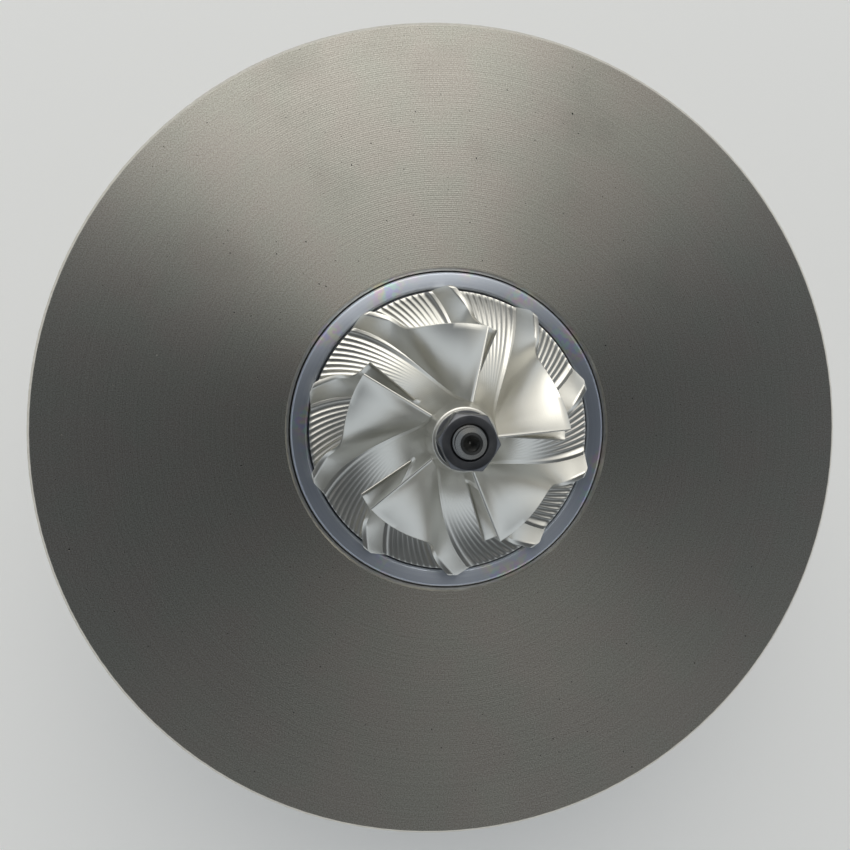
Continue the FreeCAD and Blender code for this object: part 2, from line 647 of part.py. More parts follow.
def thrust_bearing():
    """Flat thrust bearing with oil grooves in both faces and two pin holes."""
    blank = turned("thrust_bearing_turning", [
        ("spacer_radius + film_gap", THRUST_TOP),
        ("thrust_bearing_radius", THRUST_TOP),
        ("thrust_bearing_radius", THRUST_BOTTOM),
        ("spacer_radius + film_gap", THRUST_BOTTOM),
    ])
    grooves = []
    count = int(number("pad_groove_count"))
    for index in range(count):
        turn = 45.0 + 360.0 / count * index
        for label, low in (("top", THRUST_TOP + " - pad_groove_depth"), ("bottom", THRUST_BOTTOM)):
            groove = document.addObject("Part::Box", f"{label}_pad_groove_{index + 1}")
            groove.setExpression("Length", bound("thrust_face_radius + 1"))
            groove.setExpression("Width", bound("pad_groove_width"))
            groove.setExpression("Height", bound("pad_groove_depth"))
            grooves.append(placed(groove, ("0", "0", low), turn=turn))
    drain = rod(
        "thrust_drain_notch", "slot_width / 2", "thrust_bearing_thickness",
        ("0", "-thrust_bearing_radius", THRUST_BOTTOM),
    )
    return cut(
        "thrust_bearing", blank, grooves + [drain] + thrust_pin_rods("thrust_pin_hole")
    )


def thrust_bearing_pins():
    """Two dowel pins that stop the thrust bearing turning."""
    return group("thrust_bearing_pins", thrust_pin_rods("thrust_pin"))


def oil_deflector():
    """Sheet ring above the thrust bearing, with a tongue bent down to the drain."""
    disc = turned("deflector_disc", [
        ("deflector_bore", THRUST_TOP),
        ("oil_chamber_radius + 2 - seat_fit", THRUST_TOP),
        ("oil_chamber_radius + 2 - seat_fit", THRUST_TOP + " + deflector_thickness"),
        ("deflector_bore", THRUST_TOP + " + deflector_thickness"),
    ])
    tongue = block(
        "deflector_tongue",
        ("slot_width - 2", "deflector_thickness", "tongue_drop + deflector_thickness"),
        ("-(slot_width - 2) / 2", "-thrust_bearing_radius + 1", THRUST_TOP + " - tongue_drop"),
    )
    return fused("oil_deflector", [disc, tongue])


def journal_bearing():
    """One-piece bronze bearing, held still by its pin, with two running lands."""
    relief_top = f"{BEARING_TOP} - bearing_land"
    relief_bottom = f"{BEARING_BOTTOM} + bearing_land"
    blank = turned("journal_bearing_turning", [
        (BEARING_BORE, BEARING_TOP),
        (BEARING_RADIUS + " - bearing_chamfer", BEARING_TOP),
        (BEARING_RADIUS, BEARING_TOP + " - bearing_chamfer"),
        (BEARING_RADIUS, relief_top),
        (BEARING_RADIUS + " - bearing_relief", relief_top),
        (BEARING_RADIUS + " - bearing_relief", relief_bottom),
        (BEARING_RADIUS, relief_bottom),
        (BEARING_RADIUS, BEARING_BOTTOM + " + bearing_chamfer"),
        (BEARING_RADIUS + " - bearing_chamfer", BEARING_BOTTOM),
        (BEARING_BORE, BEARING_BOTTOM),
        (BEARING_BORE, relief_bottom),
        (BEARING_BORE + " + bearing_relief", relief_bottom),
        (BEARING_BORE + " + bearing_relief", relief_top),
        (BEARING_BORE, relief_top),
    ])
    holes = [
        rod(
            f"bearing_oil_hole_{label}_{index}", "bearing_hole_radius", BEARING_RADIUS,
            ("0", "0", height), axis=Vector(math.cos(turn), math.sin(turn), 0), turn=90,
        )
        for label, height in (
            ("top", f"{relief_top} - bearing_hole_radius - 1"),
            ("bottom", f"{relief_bottom} + bearing_hole_radius + 1"),
        )
        for index, turn in enumerate((math.pi / 4 + math.pi / 2 * step for step in range(4)), 1)
    ]
    pin_hole = rod(
        "journal_pin_hole", "pin_radius", BEARING_RADIUS, ("0", "0", BEARING_MIDDLE),
        **ALONG_MINUS_Y,
    )
    return cut("journal_bearing", blank, holes + [pin_hole])


def bearing_pin():
    """Pin through the bearing tube that stops the bearing turning and sliding."""
    inner = "journal_radius + film_gap + bearing_relief + 0.5"
    return rod(
        "bearing_pin", "pin_radius", f"sump_inner_radius + 1 - ({inner})",
        ("0", f"-({inner})", BEARING_MIDDLE), **ALONG_MINUS_Y,
    )


def seal_ring(name, outer_radius, groove_top, angle):
    """Split seal ring, sprung against its bore, clear of its groove's sides."""
    top = groove_top + " - ring_side_gap"
    ring = turned(name + "_turning", [
        (f"{outer_radius} - seal_ring_wall", top),
        (outer_radius, top),
        (outer_radius, top + " - seal_ring_width"),
        (f"{outer_radius} - seal_ring_wall", top + " - seal_ring_width"),
    ])
    gap = document.addObject("Part::Box", name + "_gap")
    gap.setExpression("Length", bound(outer_radius + " + 1"))
    gap.setExpression("Width", bound("ring_end_gap"))
    gap.setExpression("Height", bound("2 * seal_ring_width"))
    placed(gap, ("0", "0", f"{top} - 1.5 * seal_ring_width"), turn=angle)
    return cut(name, ring, [gap])


# ---------------------------------------------------------------- rotor


def oil_flinger_sleeve():
    """Sleeve behind the wheel: seal ring groove, flinger disc and upper thrust face."""
    bore = "stub_radius + bore_fit"
    return turned("oil_flinger_sleeve", [
        (bore, "-wheel_boss_depth"),
        ("collar_land_radius", "-wheel_boss_depth"),
        ("collar_land_radius", "-collar_ring_top"),
        ("collar_ring_floor", "-collar_ring_top"),
        ("collar_ring_floor", COLLAR_RING_BOTTOM),
        ("collar_land_radius", COLLAR_RING_BOTTOM),
        ("collar_land_radius", "-flinger_top"),
        ("flinger_radius", "-flinger_top"),
        ("flinger_radius", "-flinger_top - flinger_thickness"),
        ("thrust_face_radius", "-flinger_top - flinger_thickness"),
        ("thrust_face_radius", SPACER_TOP),
        ("spacer_radius", SPACER_TOP),
        ("spacer_radius", SPACER_BOTTOM),
        (bore, SPACER_BOTTOM),
    ])


def thrust_washer():
    """Steel washer that gives the lower thrust face."""
    bore = "stub_radius + bore_fit"
    return turned("thrust_washer", [
        (bore, SPACER_BOTTOM),
        ("thrust_face_radius", SPACER_BOTTOM),
        ("thrust_face_radius", WASHER_BOTTOM),
        (bore, WASHER_BOTTOM),
    ])


def lock_nut():
    """Hexagon lock nut with a round collar, a chamfered top and a countersunk bore."""
    envelope = turned("lock_nut_turning", [
        ("stub_radius + bore_fit", NUT_BOTTOM),
        ("nut_collar_radius", NUT_BOTTOM),
        ("nut_collar_radius", NUT_BOTTOM + " + nut_collar_height"),
        ("nut_across_flats / sqrt(3)", NUT_BOTTOM + " + nut_collar_height"),
        ("nut_across_flats / sqrt(3)", NUT_TOP + " - nut_chamfer_drop"),
        ("nut_face_radius", NUT_TOP),
        ("nut_sink_radius", NUT_TOP),
        ("stub_radius + bore_fit", NUT_TOP + " - (nut_sink_radius - stub_radius)"),
    ])
    hexagon = document.addObject("Part::Prism", "lock_nut_hexagon")
    hexagon.Polygon = 6
    hexagon.setExpression("Circumradius", bound("nut_across_flats / sqrt(3)"))
    hexagon.setExpression("Height", bound("nut_height - nut_collar_height"))
    placed(hexagon, ("0", "0", NUT_BOTTOM + " + nut_collar_height"), turn=number("nut_angle"))
    collar = rod("lock_nut_collar", "nut_collar_radius", "nut_collar_height",
                 ("0", "0", NUT_BOTTOM))
    return common("lock_nut", [envelope, fused("lock_nut_outline", [hexagon, collar])])


def smooth_edge(points):
    """Return one smooth edge through points given as (radius, height, angle)."""
    places = [
        Vector(radius * math.cos(angle), radius * math.sin(angle), height)
        for radius, height, angle in points
    ]
    curve = Part.BSplineCurve()
    curve.interpolate(places)
    return curve.toShape()


def blade(tip, root, tip_half, root_half, shares):
    """Return one blade as a solid with ruled sides.

    tip and root give (radius, height, angle) for a share of the blade's length. Each
    side lies half a thickness off the mean surface, measured round the axis, so that
    the tip edge stays on the turned outline of the wheel.
    """
    def sides(curve, other, half):
        left, right = [], []
        for share in shares:
            radius, height, angle = curve(share)
            slant = slope(curve, other, share)
            shift = half(share) / (radius * slant)
            left.append((radius, height, angle + shift))
            right.append((radius, height, angle - shift))
        return smooth_edge(left), smooth_edge(right)

    tip_left, tip_right = sides(tip, root, tip_half)
    root_left, root_right = sides(root, tip, root_half)
    faces = [
        Part.makeRuledSurface(root_left, tip_left),
        Part.makeRuledSurface(tip_right, root_right),
        Part.makeRuledSurface(tip_left, tip_right),
        Part.makeRuledSurface(root_right, root_left),
    ]
    for end in (0, -1):
        corners = [edge.Vertexes[end].Point
                   for edge in (root_left, root_right, tip_right, tip_left)]
        near = Part.makeLine(corners[0], corners[1])
        far = Part.makeLine(corners[3], corners[2])
        faces.append(Part.makeRuledSurface(near, far))
    shell = Part.makeShell(faces)
    shell.sewShape()
    solid = Part.makeSolid(shell)
    if solid.Volume < 0:
        solid.reverse()
    return solid


def slope(curve, other, share):
    """Cosine between the blade's normal and the direction round the axis."""
    step = 0.01
    before, after = max(share - step, 0.0), min(share + step, 1.0)

    def place(function, at):
        radius, height, angle = function(at)
        return Vector(radius * math.cos(angle), radius * math.sin(angle), height)

    along = place(curve, after) - place(curve, before)
    across = place(other, share) - place(curve, share)
    normal = along.cross(across)
    angle = curve(share)[2]
    around_axis = Vector(-math.sin(angle), math.cos(angle), 0)
    return max(abs(normal.dot(around_axis)) / normal.Length, 0.2)


def eased(share, fullness, skew):
    """Share of the turn at a share of the length: fuller early for fullness above 0."""
    return share + share * (1 - share) * (fullness + skew * (1 - 2 * share))


def bladed_hub(name, hub_face, blades):
    """Return a hub turned from a face in the XZ plane, with its blades fused on."""
    hub = hub_face.revolve(Vector(0, 0, 0), Vector(0, 0, 1), 360)
    return solid_feature(name, hub.fuse(blades).removeSplitter())


def outline_face(lines_before, curve_points, lines_after):
    """Return a face in the XZ plane: straight lines, one smooth curve, straight lines."""
    def lift(point):
        return Vector(point[0], 0, point[1])

    curve = Part.BSplineCurve()
    curve.interpolate([lift(point) for point in curve_points])
    start, end = lift(curve_points[0]), lift(curve_points[-1])
    chain = [end] + [lift(point) for point in lines_after + lines_before] + [start]
    edges = [Part.makeLine(here, there) for here, there in zip(chain, chain[1:])]
    return Part.Face(Part.Wire([curve.toShape()] + edges))


def turned_copies(solid, count, first_angle=0.0):
    """Return copies of a solid, equally spaced round Z."""
    copies = []
    for index in range(count):
        copy = solid.copy()
        copy.rotate(Vector(0, 0, 0), Vector(0, 0, 1), first_angle + 360.0 / count * index)
        copies.append(copy)
    return copies


def compressor_wheel():
    """Milled wheel: turned hub with full blades and splitter blades between them.

    The hub is a quarter ellipse from the inlet to the rim of the back disc, and the
    blade tips follow a fuller curve outside it. A splitter is the same blade turned
    half a pitch, without the first stretch of its length.
    """
    disc, hub = number("wheel_disc_radius"), number("wheel_hub_radius")
    low, high = number("wheel_exit_height"), number("wheel_hub_height")
    inlet, outlet = number("inducer_radius"), number("exducer_radius")
    tip_low, tip_high = number("exducer_height"), number("inducer_height")
    tip_start, tip_wrap = number("tip_start_angle"), number("tip_wrap")
    root_start, root_wrap = number("root_start_angle"), number("root_wrap")
    tip_half = number("blade_tip_thickness") / 2
    root_half = number("blade_root_thickness") / 2
    edge_share = number("blade_edge_share")
    edge_run = number("blade_edge_run")
    root_fullness, root_skew = number("root_fullness"), number("root_skew")
    tip_fullness, tip_skew = number("tip_fullness"), number("tip_skew")
    tip_wave, tip_delay = number("tip_wave"), number("tip_delay")
    radius_power, height_power = number("tip_radius_power"), number("tip_height_power")
    sink = number("wheel_rim_thickness") / 3
    pairs = int(number("blade_pair_count"))

    def hub_point(share):
        turn = math.pi / 2 * share
        return (disc - (disc - hub) * math.cos(turn), high - (high - low) * math.sin(turn))

    def root(share):
        turn = math.pi / 2 * share
        radius, height = hub_point(share)
        outward = (disc - hub) * math.sin(turn)
        downward = (high - low) * math.cos(turn)
        length = math.hypot(outward, downward)
        angle = root_start + root_wrap * eased(share, root_fullness, root_skew)
        return (radius - sink * downward / length, height - sink * outward / length,
                math.radians(angle))

    def tip(share):
        late = share ** tip_delay
        turn = math.pi / 2 * late
        radius = inlet + (outlet - inlet) * (1 - abs(math.cos(turn)) ** radius_power)
        height = tip_low + (tip_high - tip_low) * (1 - math.sin(turn) ** height_power)
        middle = late * (1 - late)
        wrapped = eased(late, tip_fullness, tip_skew) + tip_wave * middle * (1 - 6 * middle)
        return radius, height, math.radians(tip_start + tip_wrap * wrapped)

    def thinned(half, start):
        """Thickness law: thin at the leading edge and full a short way behind it."""
        def law(share):
            rise = min((share - start) / edge_run, 1.0)
            return half * (edge_share + (1 - edge_share) * rise)
        return law

    def wheel_blade(start):
        steps = 14
        shares = [start + (1 - start) * step / steps for step in range(steps + 1)]
        return blade(tip, root, thinned(tip_half, start), thinned(root_half, start), shares)

    bore = number("stub_radius + bore_fit")
    flat = disc * number("wheel_back_land")
    step = number("wheel_nose_step")
    nose, nose_height = number("wheel_nose_radius"), number("wheel_nose_height")
    boss, boss_depth = number("wheel_boss_radius"), number("wheel_boss_depth")
    rim_back = low - number("wheel_rim_thickness")
    face = outline_face(
        [(bore, nose_height), (nose - step, nose_height), (nose - step, nose_height - step),
         (nose, nose_height - step)],
        [hub_point(index / 12) for index in range(13)],
        [(disc, rim_back), (flat, rim_back), (boss + 1, 0.2 - boss_depth),
         (boss, -boss_depth), (bore, -boss_depth)],
    )
    blades = turned_copies(wheel_blade(0.0), pairs)
    blades += turned_copies(wheel_blade(number("splitter_start")), pairs, 180.0 / pairs)
    return bladed_hub("compressor_wheel", face, blades)


def shaft_and_turbine_wheel():
    """Shaft friction-welded to its cast turbine wheel, as one piece."""
    back, outlet = number(TURBINE_BACK), number(TURBINE_OUTLET)
    inlet_radius, exit_radius = number("turbine_radius"), number("turbine_exit_radius")
    disc, hub = number("turbine_disc_radius"), number("turbine_hub_radius")
    width, rim = number("turbine_inlet_width"), number("turbine_rim")
    twist, twist_power = number("turbine_twist"), number("turbine_twist_power")
    tip_power = number("turbine_tip_power")

    def hub_point(share):
        turn = math.pi / 2 * share
        return (hub + (disc - hub) * (1 - math.sin(turn)),
                back - rim + (outlet - back + rim) * (1 - math.cos(turn)))

    def angle(share):
        return math.radians(-twist * share ** twist_power)

    def root(share):
        radius, height = hub_point(share)
        return radius - 0.5 * (1 - share) - 0.6 * share, height + 0.8 * (1 - share), angle(share)

    def tip(share):
        turn = math.pi / 2 * share
        radius = exit_radius + (inlet_radius - exit_radius) * (1 - math.sin(turn)) ** tip_power
        height = back - rim - width + (outlet - back + rim + width) * (1 - math.cos(turn))
        return radius, height, angle(share)

    shares = [step / 8 for step in range(9)]
    tip_half, root_half = number("turbine_blade_tip") / 2, number("turbine_blade_root") / 2
    vane = blade(tip, root, lambda share: tip_half, lambda share: root_half, shares)

    stub, journal = number("stub_radius"), number("journal_radius")
    top, chamfer = number("tip_height"), number("tip_chamfer")
    hole, hole_depth = number("centre_hole_radius"), number("centre_hole_depth")
    shoulder = number(WASHER_BOTTOM)
    chamber = number(TURBINE_CHAMBER_END)
    seal, floor = number(SHAFT_HUB_RADIUS), number("turbine_ring_floor")
    ring_top, ring_bottom = number(TURBINE_RING_TOP), number(TURBINE_RING_BOTTOM)
    nut, nut_height = number("turbine_nut_radius"), number("turbine_nut_height")
    pilot = number("pilot_radius")
    thread_end = top - number("pilot_length")
    hub_top = chamber + number("thrust_gap")
    face = outline_face(
        [(0, top - hole_depth), (hole, top - hole_depth + hole), (hole, top),
         (pilot - chamfer, top), (pilot, top - chamfer), (pilot, thread_end),
         (stub, thread_end - (stub - pilot)), (stub, shoulder), (journal, shoulder),
         (journal, hub_top), (seal, hub_top), (seal, ring_top), (floor, ring_top),
         (floor, ring_bottom), (seal, ring_bottom), (seal, back), (disc, back)],
        [hub_point(index / 8) for index in range(9)],
        [(nut, outlet), (0, outlet)],
    )
    wheel = face.revolve(Vector(0, 0, 0), Vector(0, 0, 1), 360)
    count = int(number("turbine_blade_count"))
    corners = [
        Vector(nut * math.cos(step * math.pi / 3), nut * math.sin(step * math.pi / 3), outlet)
        for step in range(7)
    ]
    hexagon = Part.Face(Part.makePolygon(corners)).extrude(Vector(0, 0, -nut_height))
    whole = wheel.fuse(turned_copies(vane, count) + [hexagon]).removeSplitter()
    return solid_feature("shaft_and_turbine_wheel", whole)


def heat_shield():
    """Pressed steel cup between the casting and the turbine wheel."""
    inner_wall = "shield_cup_radius - shield_thickness"
    flat = "-casting_depth - shield_thickness"
    blank = turned("heat_shield_blank", [
        (SHIELD_BORE, SHIELD_INNER),
        (inner_wall, SHIELD_INNER),
        (inner_wall, "-casting_depth"),
        (SHIELD_RADIUS, "-casting_depth"),
        (SHIELD_RADIUS, flat),
        ("shield_cup_radius", flat),
        ("shield_cup_radius", SHIELD_OUTER),
        (SHIELD_BORE, SHIELD_OUTER),
    ])
    filleted(blank, "shield_bend", [
        ("shield_cup_radius", SHIELD_OUTER), (inner_wall, "-casting_depth"),
    ])
    filleted(blank, "shield_bend - shield_thickness", [
        (inner_wall, SHIELD_INNER), ("shield_cup_radius", flat),
    ])
    blank.Label = "heat_shield"
    return blank


# ---------------------------------------------------------------- build and write

PIECES = [
    bearing_housing(),
    insert(),
    insert_screws(),
    insert_o_ring(),
    oil_deflector(),
    thrust_bearing(),
    thrust_bearing_pins(),
    journal_bearing(),
    bearing_pin(),
    seal_ring("compressor_seal_ring", "seal_bore_radius", "-collar_ring_top", 30.0),
    seal_ring("turbine_seal_ring", "turbine_seal_radius", TURBINE_RING_TOP, 210.0),
    heat_shield(),
    shaft_and_turbine_wheel(),
    thrust_washer(),
    oil_flinger_sleeve(),
    compressor_wheel(),
    lock_nut(),
]
document.recompute()

failed = [item.Name for item in document.Objects
          if "Invalid" in item.State or "Error" in item.State]
if failed:
    raise RuntimeError("these objects failed: " + ", ".join(failed))
for piece in PIECES:
    if piece.Shape.isNull() or not piece.Shape.isValid() or piece.Shape.Volume <= 0:
        raise RuntimeError(f"{piece.Label} has no valid solid")

os.makedirs("parts", exist_ok=True)
for piece in PIECES:
    piece.Shape.exportStep(f"parts/{piece.Label}.step")
    print(f"{piece.Label}: {len(piece.Shape.Solids)} solid(s), "
          f"{piece.Shape.Volume / 1000:.2f} cm3")
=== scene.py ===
"""Turbocharger centre section: its finishes, milled wheel, lock nut and studio.

Everything is built in metres in the frame of the solids: +Z runs along the rotor axis
towards the compressor inlet and z = 0 is the machined face of the large flange. Sizes
inside the classes are millimetres and angles are degrees unless a name says otherwise.
"""
import logging
import math
from dataclasses import dataclass
from enum import Enum
from functools import partial

import bmesh
import bpy
import numpy as np
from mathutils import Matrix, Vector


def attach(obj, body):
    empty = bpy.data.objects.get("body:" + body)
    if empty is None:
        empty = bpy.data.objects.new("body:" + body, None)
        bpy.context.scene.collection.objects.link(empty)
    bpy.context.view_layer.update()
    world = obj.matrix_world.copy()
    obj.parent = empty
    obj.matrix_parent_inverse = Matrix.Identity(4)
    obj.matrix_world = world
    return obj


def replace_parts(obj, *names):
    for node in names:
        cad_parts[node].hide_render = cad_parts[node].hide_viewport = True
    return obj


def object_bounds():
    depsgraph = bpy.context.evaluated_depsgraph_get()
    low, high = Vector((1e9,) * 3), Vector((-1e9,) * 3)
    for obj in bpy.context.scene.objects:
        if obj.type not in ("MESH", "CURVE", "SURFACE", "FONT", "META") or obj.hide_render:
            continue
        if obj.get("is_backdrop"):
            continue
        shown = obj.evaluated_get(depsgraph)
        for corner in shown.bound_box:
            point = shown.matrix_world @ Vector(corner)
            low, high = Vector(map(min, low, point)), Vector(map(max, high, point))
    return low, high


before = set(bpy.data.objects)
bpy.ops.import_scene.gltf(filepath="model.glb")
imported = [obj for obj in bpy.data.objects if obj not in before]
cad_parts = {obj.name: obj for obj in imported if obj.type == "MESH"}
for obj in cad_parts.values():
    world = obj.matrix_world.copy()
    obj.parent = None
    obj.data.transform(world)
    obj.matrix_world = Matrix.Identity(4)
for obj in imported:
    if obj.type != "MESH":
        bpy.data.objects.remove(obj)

LOG = logging.getLogger("turbocharger")
MM = 0.001
FULL_TURN = 2 * math.pi

Array = np.ndarray
Colour = tuple[float, float, float, float]
Material = bpy.types.Material
Node = bpy.types.Node
Object = bpy.types.Object
Socket = bpy.types.NodeSocket
Tree = bpy.types.NodeTree


class Body(Enum):
    """The two bodies of the part."""

    HOUSING = "housing"
    ROTOR = "rotor"


# ---------------------------------------------------------------- colours and nodes


def linear(code: str) -> Colour:
    """Turn an sRGB hex colour such as "#a0a5aa" into linear RGBA.

    Args:
        code: the colour, with its leading #.

    Returns:
        Linear red, green, blue and an alpha of 1.
    """
    shares = [int(code[start:start + 2], 16) / 255 for start in (1, 3, 5)]
    lit = [share / 12.92 if share <= 0.04045 else ((share + 0.055) / 1.055) ** 2.4
           for share in shares]
    return lit[0], lit[1], lit[2], 1.0


def scale_of(grain_mm: float) -> float:
    """Scale of a noise whose features are about that many millimetres across."""
    return 1 / (grain_mm * MM)


def add_node(tree: Tree, kind: str, sockets: dict | None = None, **fields: object) -> Node:
    """Add one node, set its fields, and set or link its input sockets.

    Args:
        tree: the node tree of a material or of the world.
        kind: the node's type, without its ShaderNode prefix.
        sockets: for each input, by name or number, a value, an output socket to link,
            or a node whose first output in use is linked.
        fields: the node's own settings.

    Returns:
        The new node.
    """
    node = tree.nodes.new("ShaderNode" + kind)
    for field_name, value in fields.items():
        setattr(node, field_name, value)
    for key, value in (sockets or {}).items():
        if isinstance(value, Node):
            value = next(output for output in value.outputs if output.enabled)
        if isinstance(value, Socket):
            tree.links.new(value, node.inputs[key])
        else:
            node.inputs[key].default_value = value
    return node


class Surface:
    """Places on a piece's surface, from which its finish is worked out."""

    def __init__(self, tree: Tree) -> None:
        """Read the piece's own coordinates in metres, and the radius and height on Z.

        Args:
            tree: the material's node tree.
        """
        self.add = partial(add_node, tree)
        self.place = self.add("TexCoord").outputs["Object"]
        flat = self.add("VectorMath", {0: self.place, 1: (1, 1, 0)}, operation="MULTIPLY")
        self.radius = self.add("VectorMath", {0: flat}, operation="LENGTH")
        self.height = self.add("SeparateXYZ", {0: self.place}).outputs["Z"]

    def feed_marks(self, pitch_mm: float, wander: Node | float = 0.0) -> Node:
        """Marks of a turning tool: a sine of the radius plus a sine of the height.

        On a faced surface only the radius varies, and on a turned rim only the height.

        Args:
            pitch_mm: distance from mark to mark.
            wander: angle in radians by which the marks stray.

        Returns:
            The node of their height, from -2 to 2.
        """
        beat = FULL_TURN / (pitch_mm * MM)
        waves = {}
        for index, length in enumerate((self.radius, self.height)):
            phase = self.add("Math", {0: length, 1: beat, 2: wander}, operation="MULTIPLY_ADD")
            waves[index] = self.add("Math", {0: phase}, operation="SINE")
        return self.add("Math", waves, operation="ADD")

    def bands(self, width_mm: float) -> Node:
        """Noise of the radius and height alone, so that it runs in rings round the axis.

        Args:
            width_mm: about how wide a ring is.

        Returns:
            The node of the noise, from 0 to 1.
        """
        spot = self.add("CombineXYZ", {"X": self.radius, "Y": self.height})
        return self.add("TexNoise", {
            "Vector": spot, "Scale": scale_of(width_mm), "Detail": 3.0, "Roughness": 0.7})

    def patches(self, size_mm: float, low: float, high: float, detail: float = 1.0) -> Node:
        """Patches: noise that a smooth step takes from 0 below low to 1 above high.

        Args:
            size_mm: about how wide a patch is.
            low: noise at which a patch begins.
            high: noise from which it is full.
            detail: how ragged its border is.

        Returns:
            The node of the patches, from 0 to 1.
        """
        noise = self.add("TexNoise", {
            "Vector": self.place, "Scale": scale_of(size_mm), "Detail": detail})
        return self.add("MapRange", {"Value": noise, "From Min": low, "From Max": high},
                        interpolation_type="SMOOTHSTEP")


# ---------------------------------------------------------------- finishes


@dataclass(frozen=True)
class Look:
    """What a finish works out over the surface.

    tone is the share of the way from the darker colour to the lighter one, height is the
    relief in units of the finish's depth, and each layer is a share and the colour that
    it lays over what is below it.
    """

    tone: Node
    height: Node
    roughness: Node | float
    layers: tuple[tuple[Node | float, Node | Colour], ...] = ()


@dataclass(frozen=True)
class Finish:
    """A material's two colours, depth of relief and shader constants."""

    name: str
    tones: tuple[str, str]
    roughness: float
    roughness_spread: float = 0.0
    metallic: float = 1.0
    anisotropy: float = 0.0
    depth_mm: float = 0.01

    def look(self, surface: Surface) -> Look:
        """Work out the patterns, which every kind of finish does in its own way."""
        raise NotImplementedError(self.name)

    def varied_roughness(self, surface: Surface, share: Node) -> Node:
        """Roughness that follows a pattern, by the spread about its middle value.

        Args:
            surface: places on the surface.
            share: the pattern, from 0 to 1.

        Returns:
            The node of the roughness.
        """
        least = self.roughness - self.roughness_spread / 2
        return surface.add("Math", {0: share, 1: self.roughness_spread, 2: least},
                           operation="MULTIPLY_ADD")

    def build(self) -> Material:
        """Make the material: its colours, its relief and its shader.

        Two equal tones are one colour, which is set on the shader itself. Anisotropic
        highlights are stretched across marks that run round Z.

        Returns:
            The material, with its nodes.
        """
        material = bpy.data.materials.new(self.name)
        material.use_nodes = True
        material.node_tree.nodes.clear()
        surface = Surface(material.node_tree)
        look = self.look(surface)
        colour, light = (linear(code) for code in self.tones)
        if light != colour:
            colour = surface.add(
                "Mix", {0: look.tone, 6: colour, 7: light}, data_type="RGBA")
        for share, over in look.layers:
            colour = surface.add("Mix", {0: share, 6: colour, 7: over}, data_type="RGBA")
        relief = surface.add("Bump", {
            "Height": look.height, "Distance": self.depth_mm * MM, "Strength": 1.0})
        sockets = {
            "Base Color": colour, "Roughness": look.roughness, "Metallic": self.metallic,
            "Normal": relief}
        if self.anisotropy:
            sockets |= {
                "Anisotropic": self.anisotropy, "Anisotropic Rotation": 0.25,
                "Tangent": surface.add("Tangent", direction_type="RADIAL", axis="Z")}
        surface.add("OutputMaterial", {"Surface": surface.add("BsdfPrincipled", sockets)})
        return material


@dataclass(frozen=True)
class GrainedFinish(Finish):
    """A plain finish whose one even grain gives both its tone and its relief."""

    grain_mm: float = 0.4
    grain_detail: float = 2.0

    def look(self, surface: Surface) -> Look:
        """Work out the grain.

        Args:
            surface: places on the surface.

        Returns:
            The look.
        """
        grain = surface.add("TexNoise", {
            "Vector": surface.place, "Scale": scale_of(self.grain_mm),
            "Detail": self.grain_detail})
        return Look(grain, grain, self.roughness)


@dataclass(frozen=True)
class FacedIron(Finish):
    """Grey cast iron faced on a lathe.

    The fine feed marks spread each light into a streak across them, so the face shows
    two bright fans and two dark ones. Open graphite leaves small dark pits, and the
    colour drifts faintly between a warm and a cool grey.
    """

    name: str = "faced_grey_iron"
    tones: tuple[str, str] = ("#807d75", "#bfbcb3")
    roughness: float = 0.36
    roughness_spread: float = 0.08
    anisotropy: float = 0.8
    depth_mm: float = 0.006
    # Marks of a fine facing cut are about 0.1 mm apart. They are drawn coarser, to show.
    pitch_mm: float = 0.35
    mark_relief: float = 0.6
    band_mm: float = 0.4
    band_share: float = 0.2
    band_relief: float = 0.4
    speckle_mm: float = 0.22
    speckle_relief: float = 0.4
    drift_mm: float = 11.0
    drift: tuple[str, str] = ("#a69c97", "#9ca198")
    drift_share: float = 0.22
    smudge_mm: float = 17.0
    smudge_colour: str = "#77736c"
    smudge_share: float = 0.16
    smudge_roughness: float = 0.03
    pit_mm: float = 0.55
    pit_colour: str = "#2b2a28"
    pit_relief: float = -3.0

    def look(self, surface: Surface) -> Look:
        """Work out feed marks, rings of tone, pits and a few faint smudges.

        Args:
            surface: places on the surface.

        Returns:
            The look.
        """
        add = surface.add
        speckle = add("TexNoise", {
            "Vector": surface.place, "Scale": scale_of(self.speckle_mm), "Detail": 3.0,
            "Roughness": 0.7})
        bands = surface.bands(self.band_mm)
        pits = surface.patches(self.pit_mm, low=0.75, high=0.8)
        smudge = surface.patches(self.smudge_mm, low=0.5, high=0.75, detail=3.0)
        grain = add("Math", {0: speckle, 1: 1 - self.band_share}, operation="MULTIPLY")
        grain = add("Math", {0: bands, 1: self.band_share, 2: grain}, operation="MULTIPLY_ADD")
        tone = add("MapRange", {"Value": grain, "From Min": 0.3, "From Max": 0.7},
                   interpolation_type="SMOOTHSTEP")
        warm, cool = (linear(code) for code in self.drift)
        side = surface.patches(self.drift_mm, low=0.35, high=0.65, detail=2.0)
        drift = add("Mix", {0: side, 6: warm, 7: cool}, data_type="RGBA")
        smudged = add("Math", {0: smudge, 1: self.smudge_share}, operation="MULTIPLY")
        rough = add("Math", {
            0: smudge, 1: self.smudge_roughness, 2: self.varied_roughness(surface, grain),
        }, operation="MULTIPLY_ADD")
        wander = add("Math", {0: speckle, 1: 2.0}, operation="MULTIPLY")
        marks = surface.feed_marks(self.pitch_mm, wander)
        height = add("Math", {0: bands, 1: self.band_relief}, operation="MULTIPLY")
        for part, relief in (
                (marks, self.mark_relief), (speckle, self.speckle_relief),
                (pits, self.pit_relief)):
            height = add("Math", {0: part, 1: relief, 2: height}, operation="MULTIPLY_ADD")
        return Look(tone, height, rough, (
            (self.drift_share, drift), (smudged, linear(self.smudge_colour)),
            (pits, linear(self.pit_colour))))


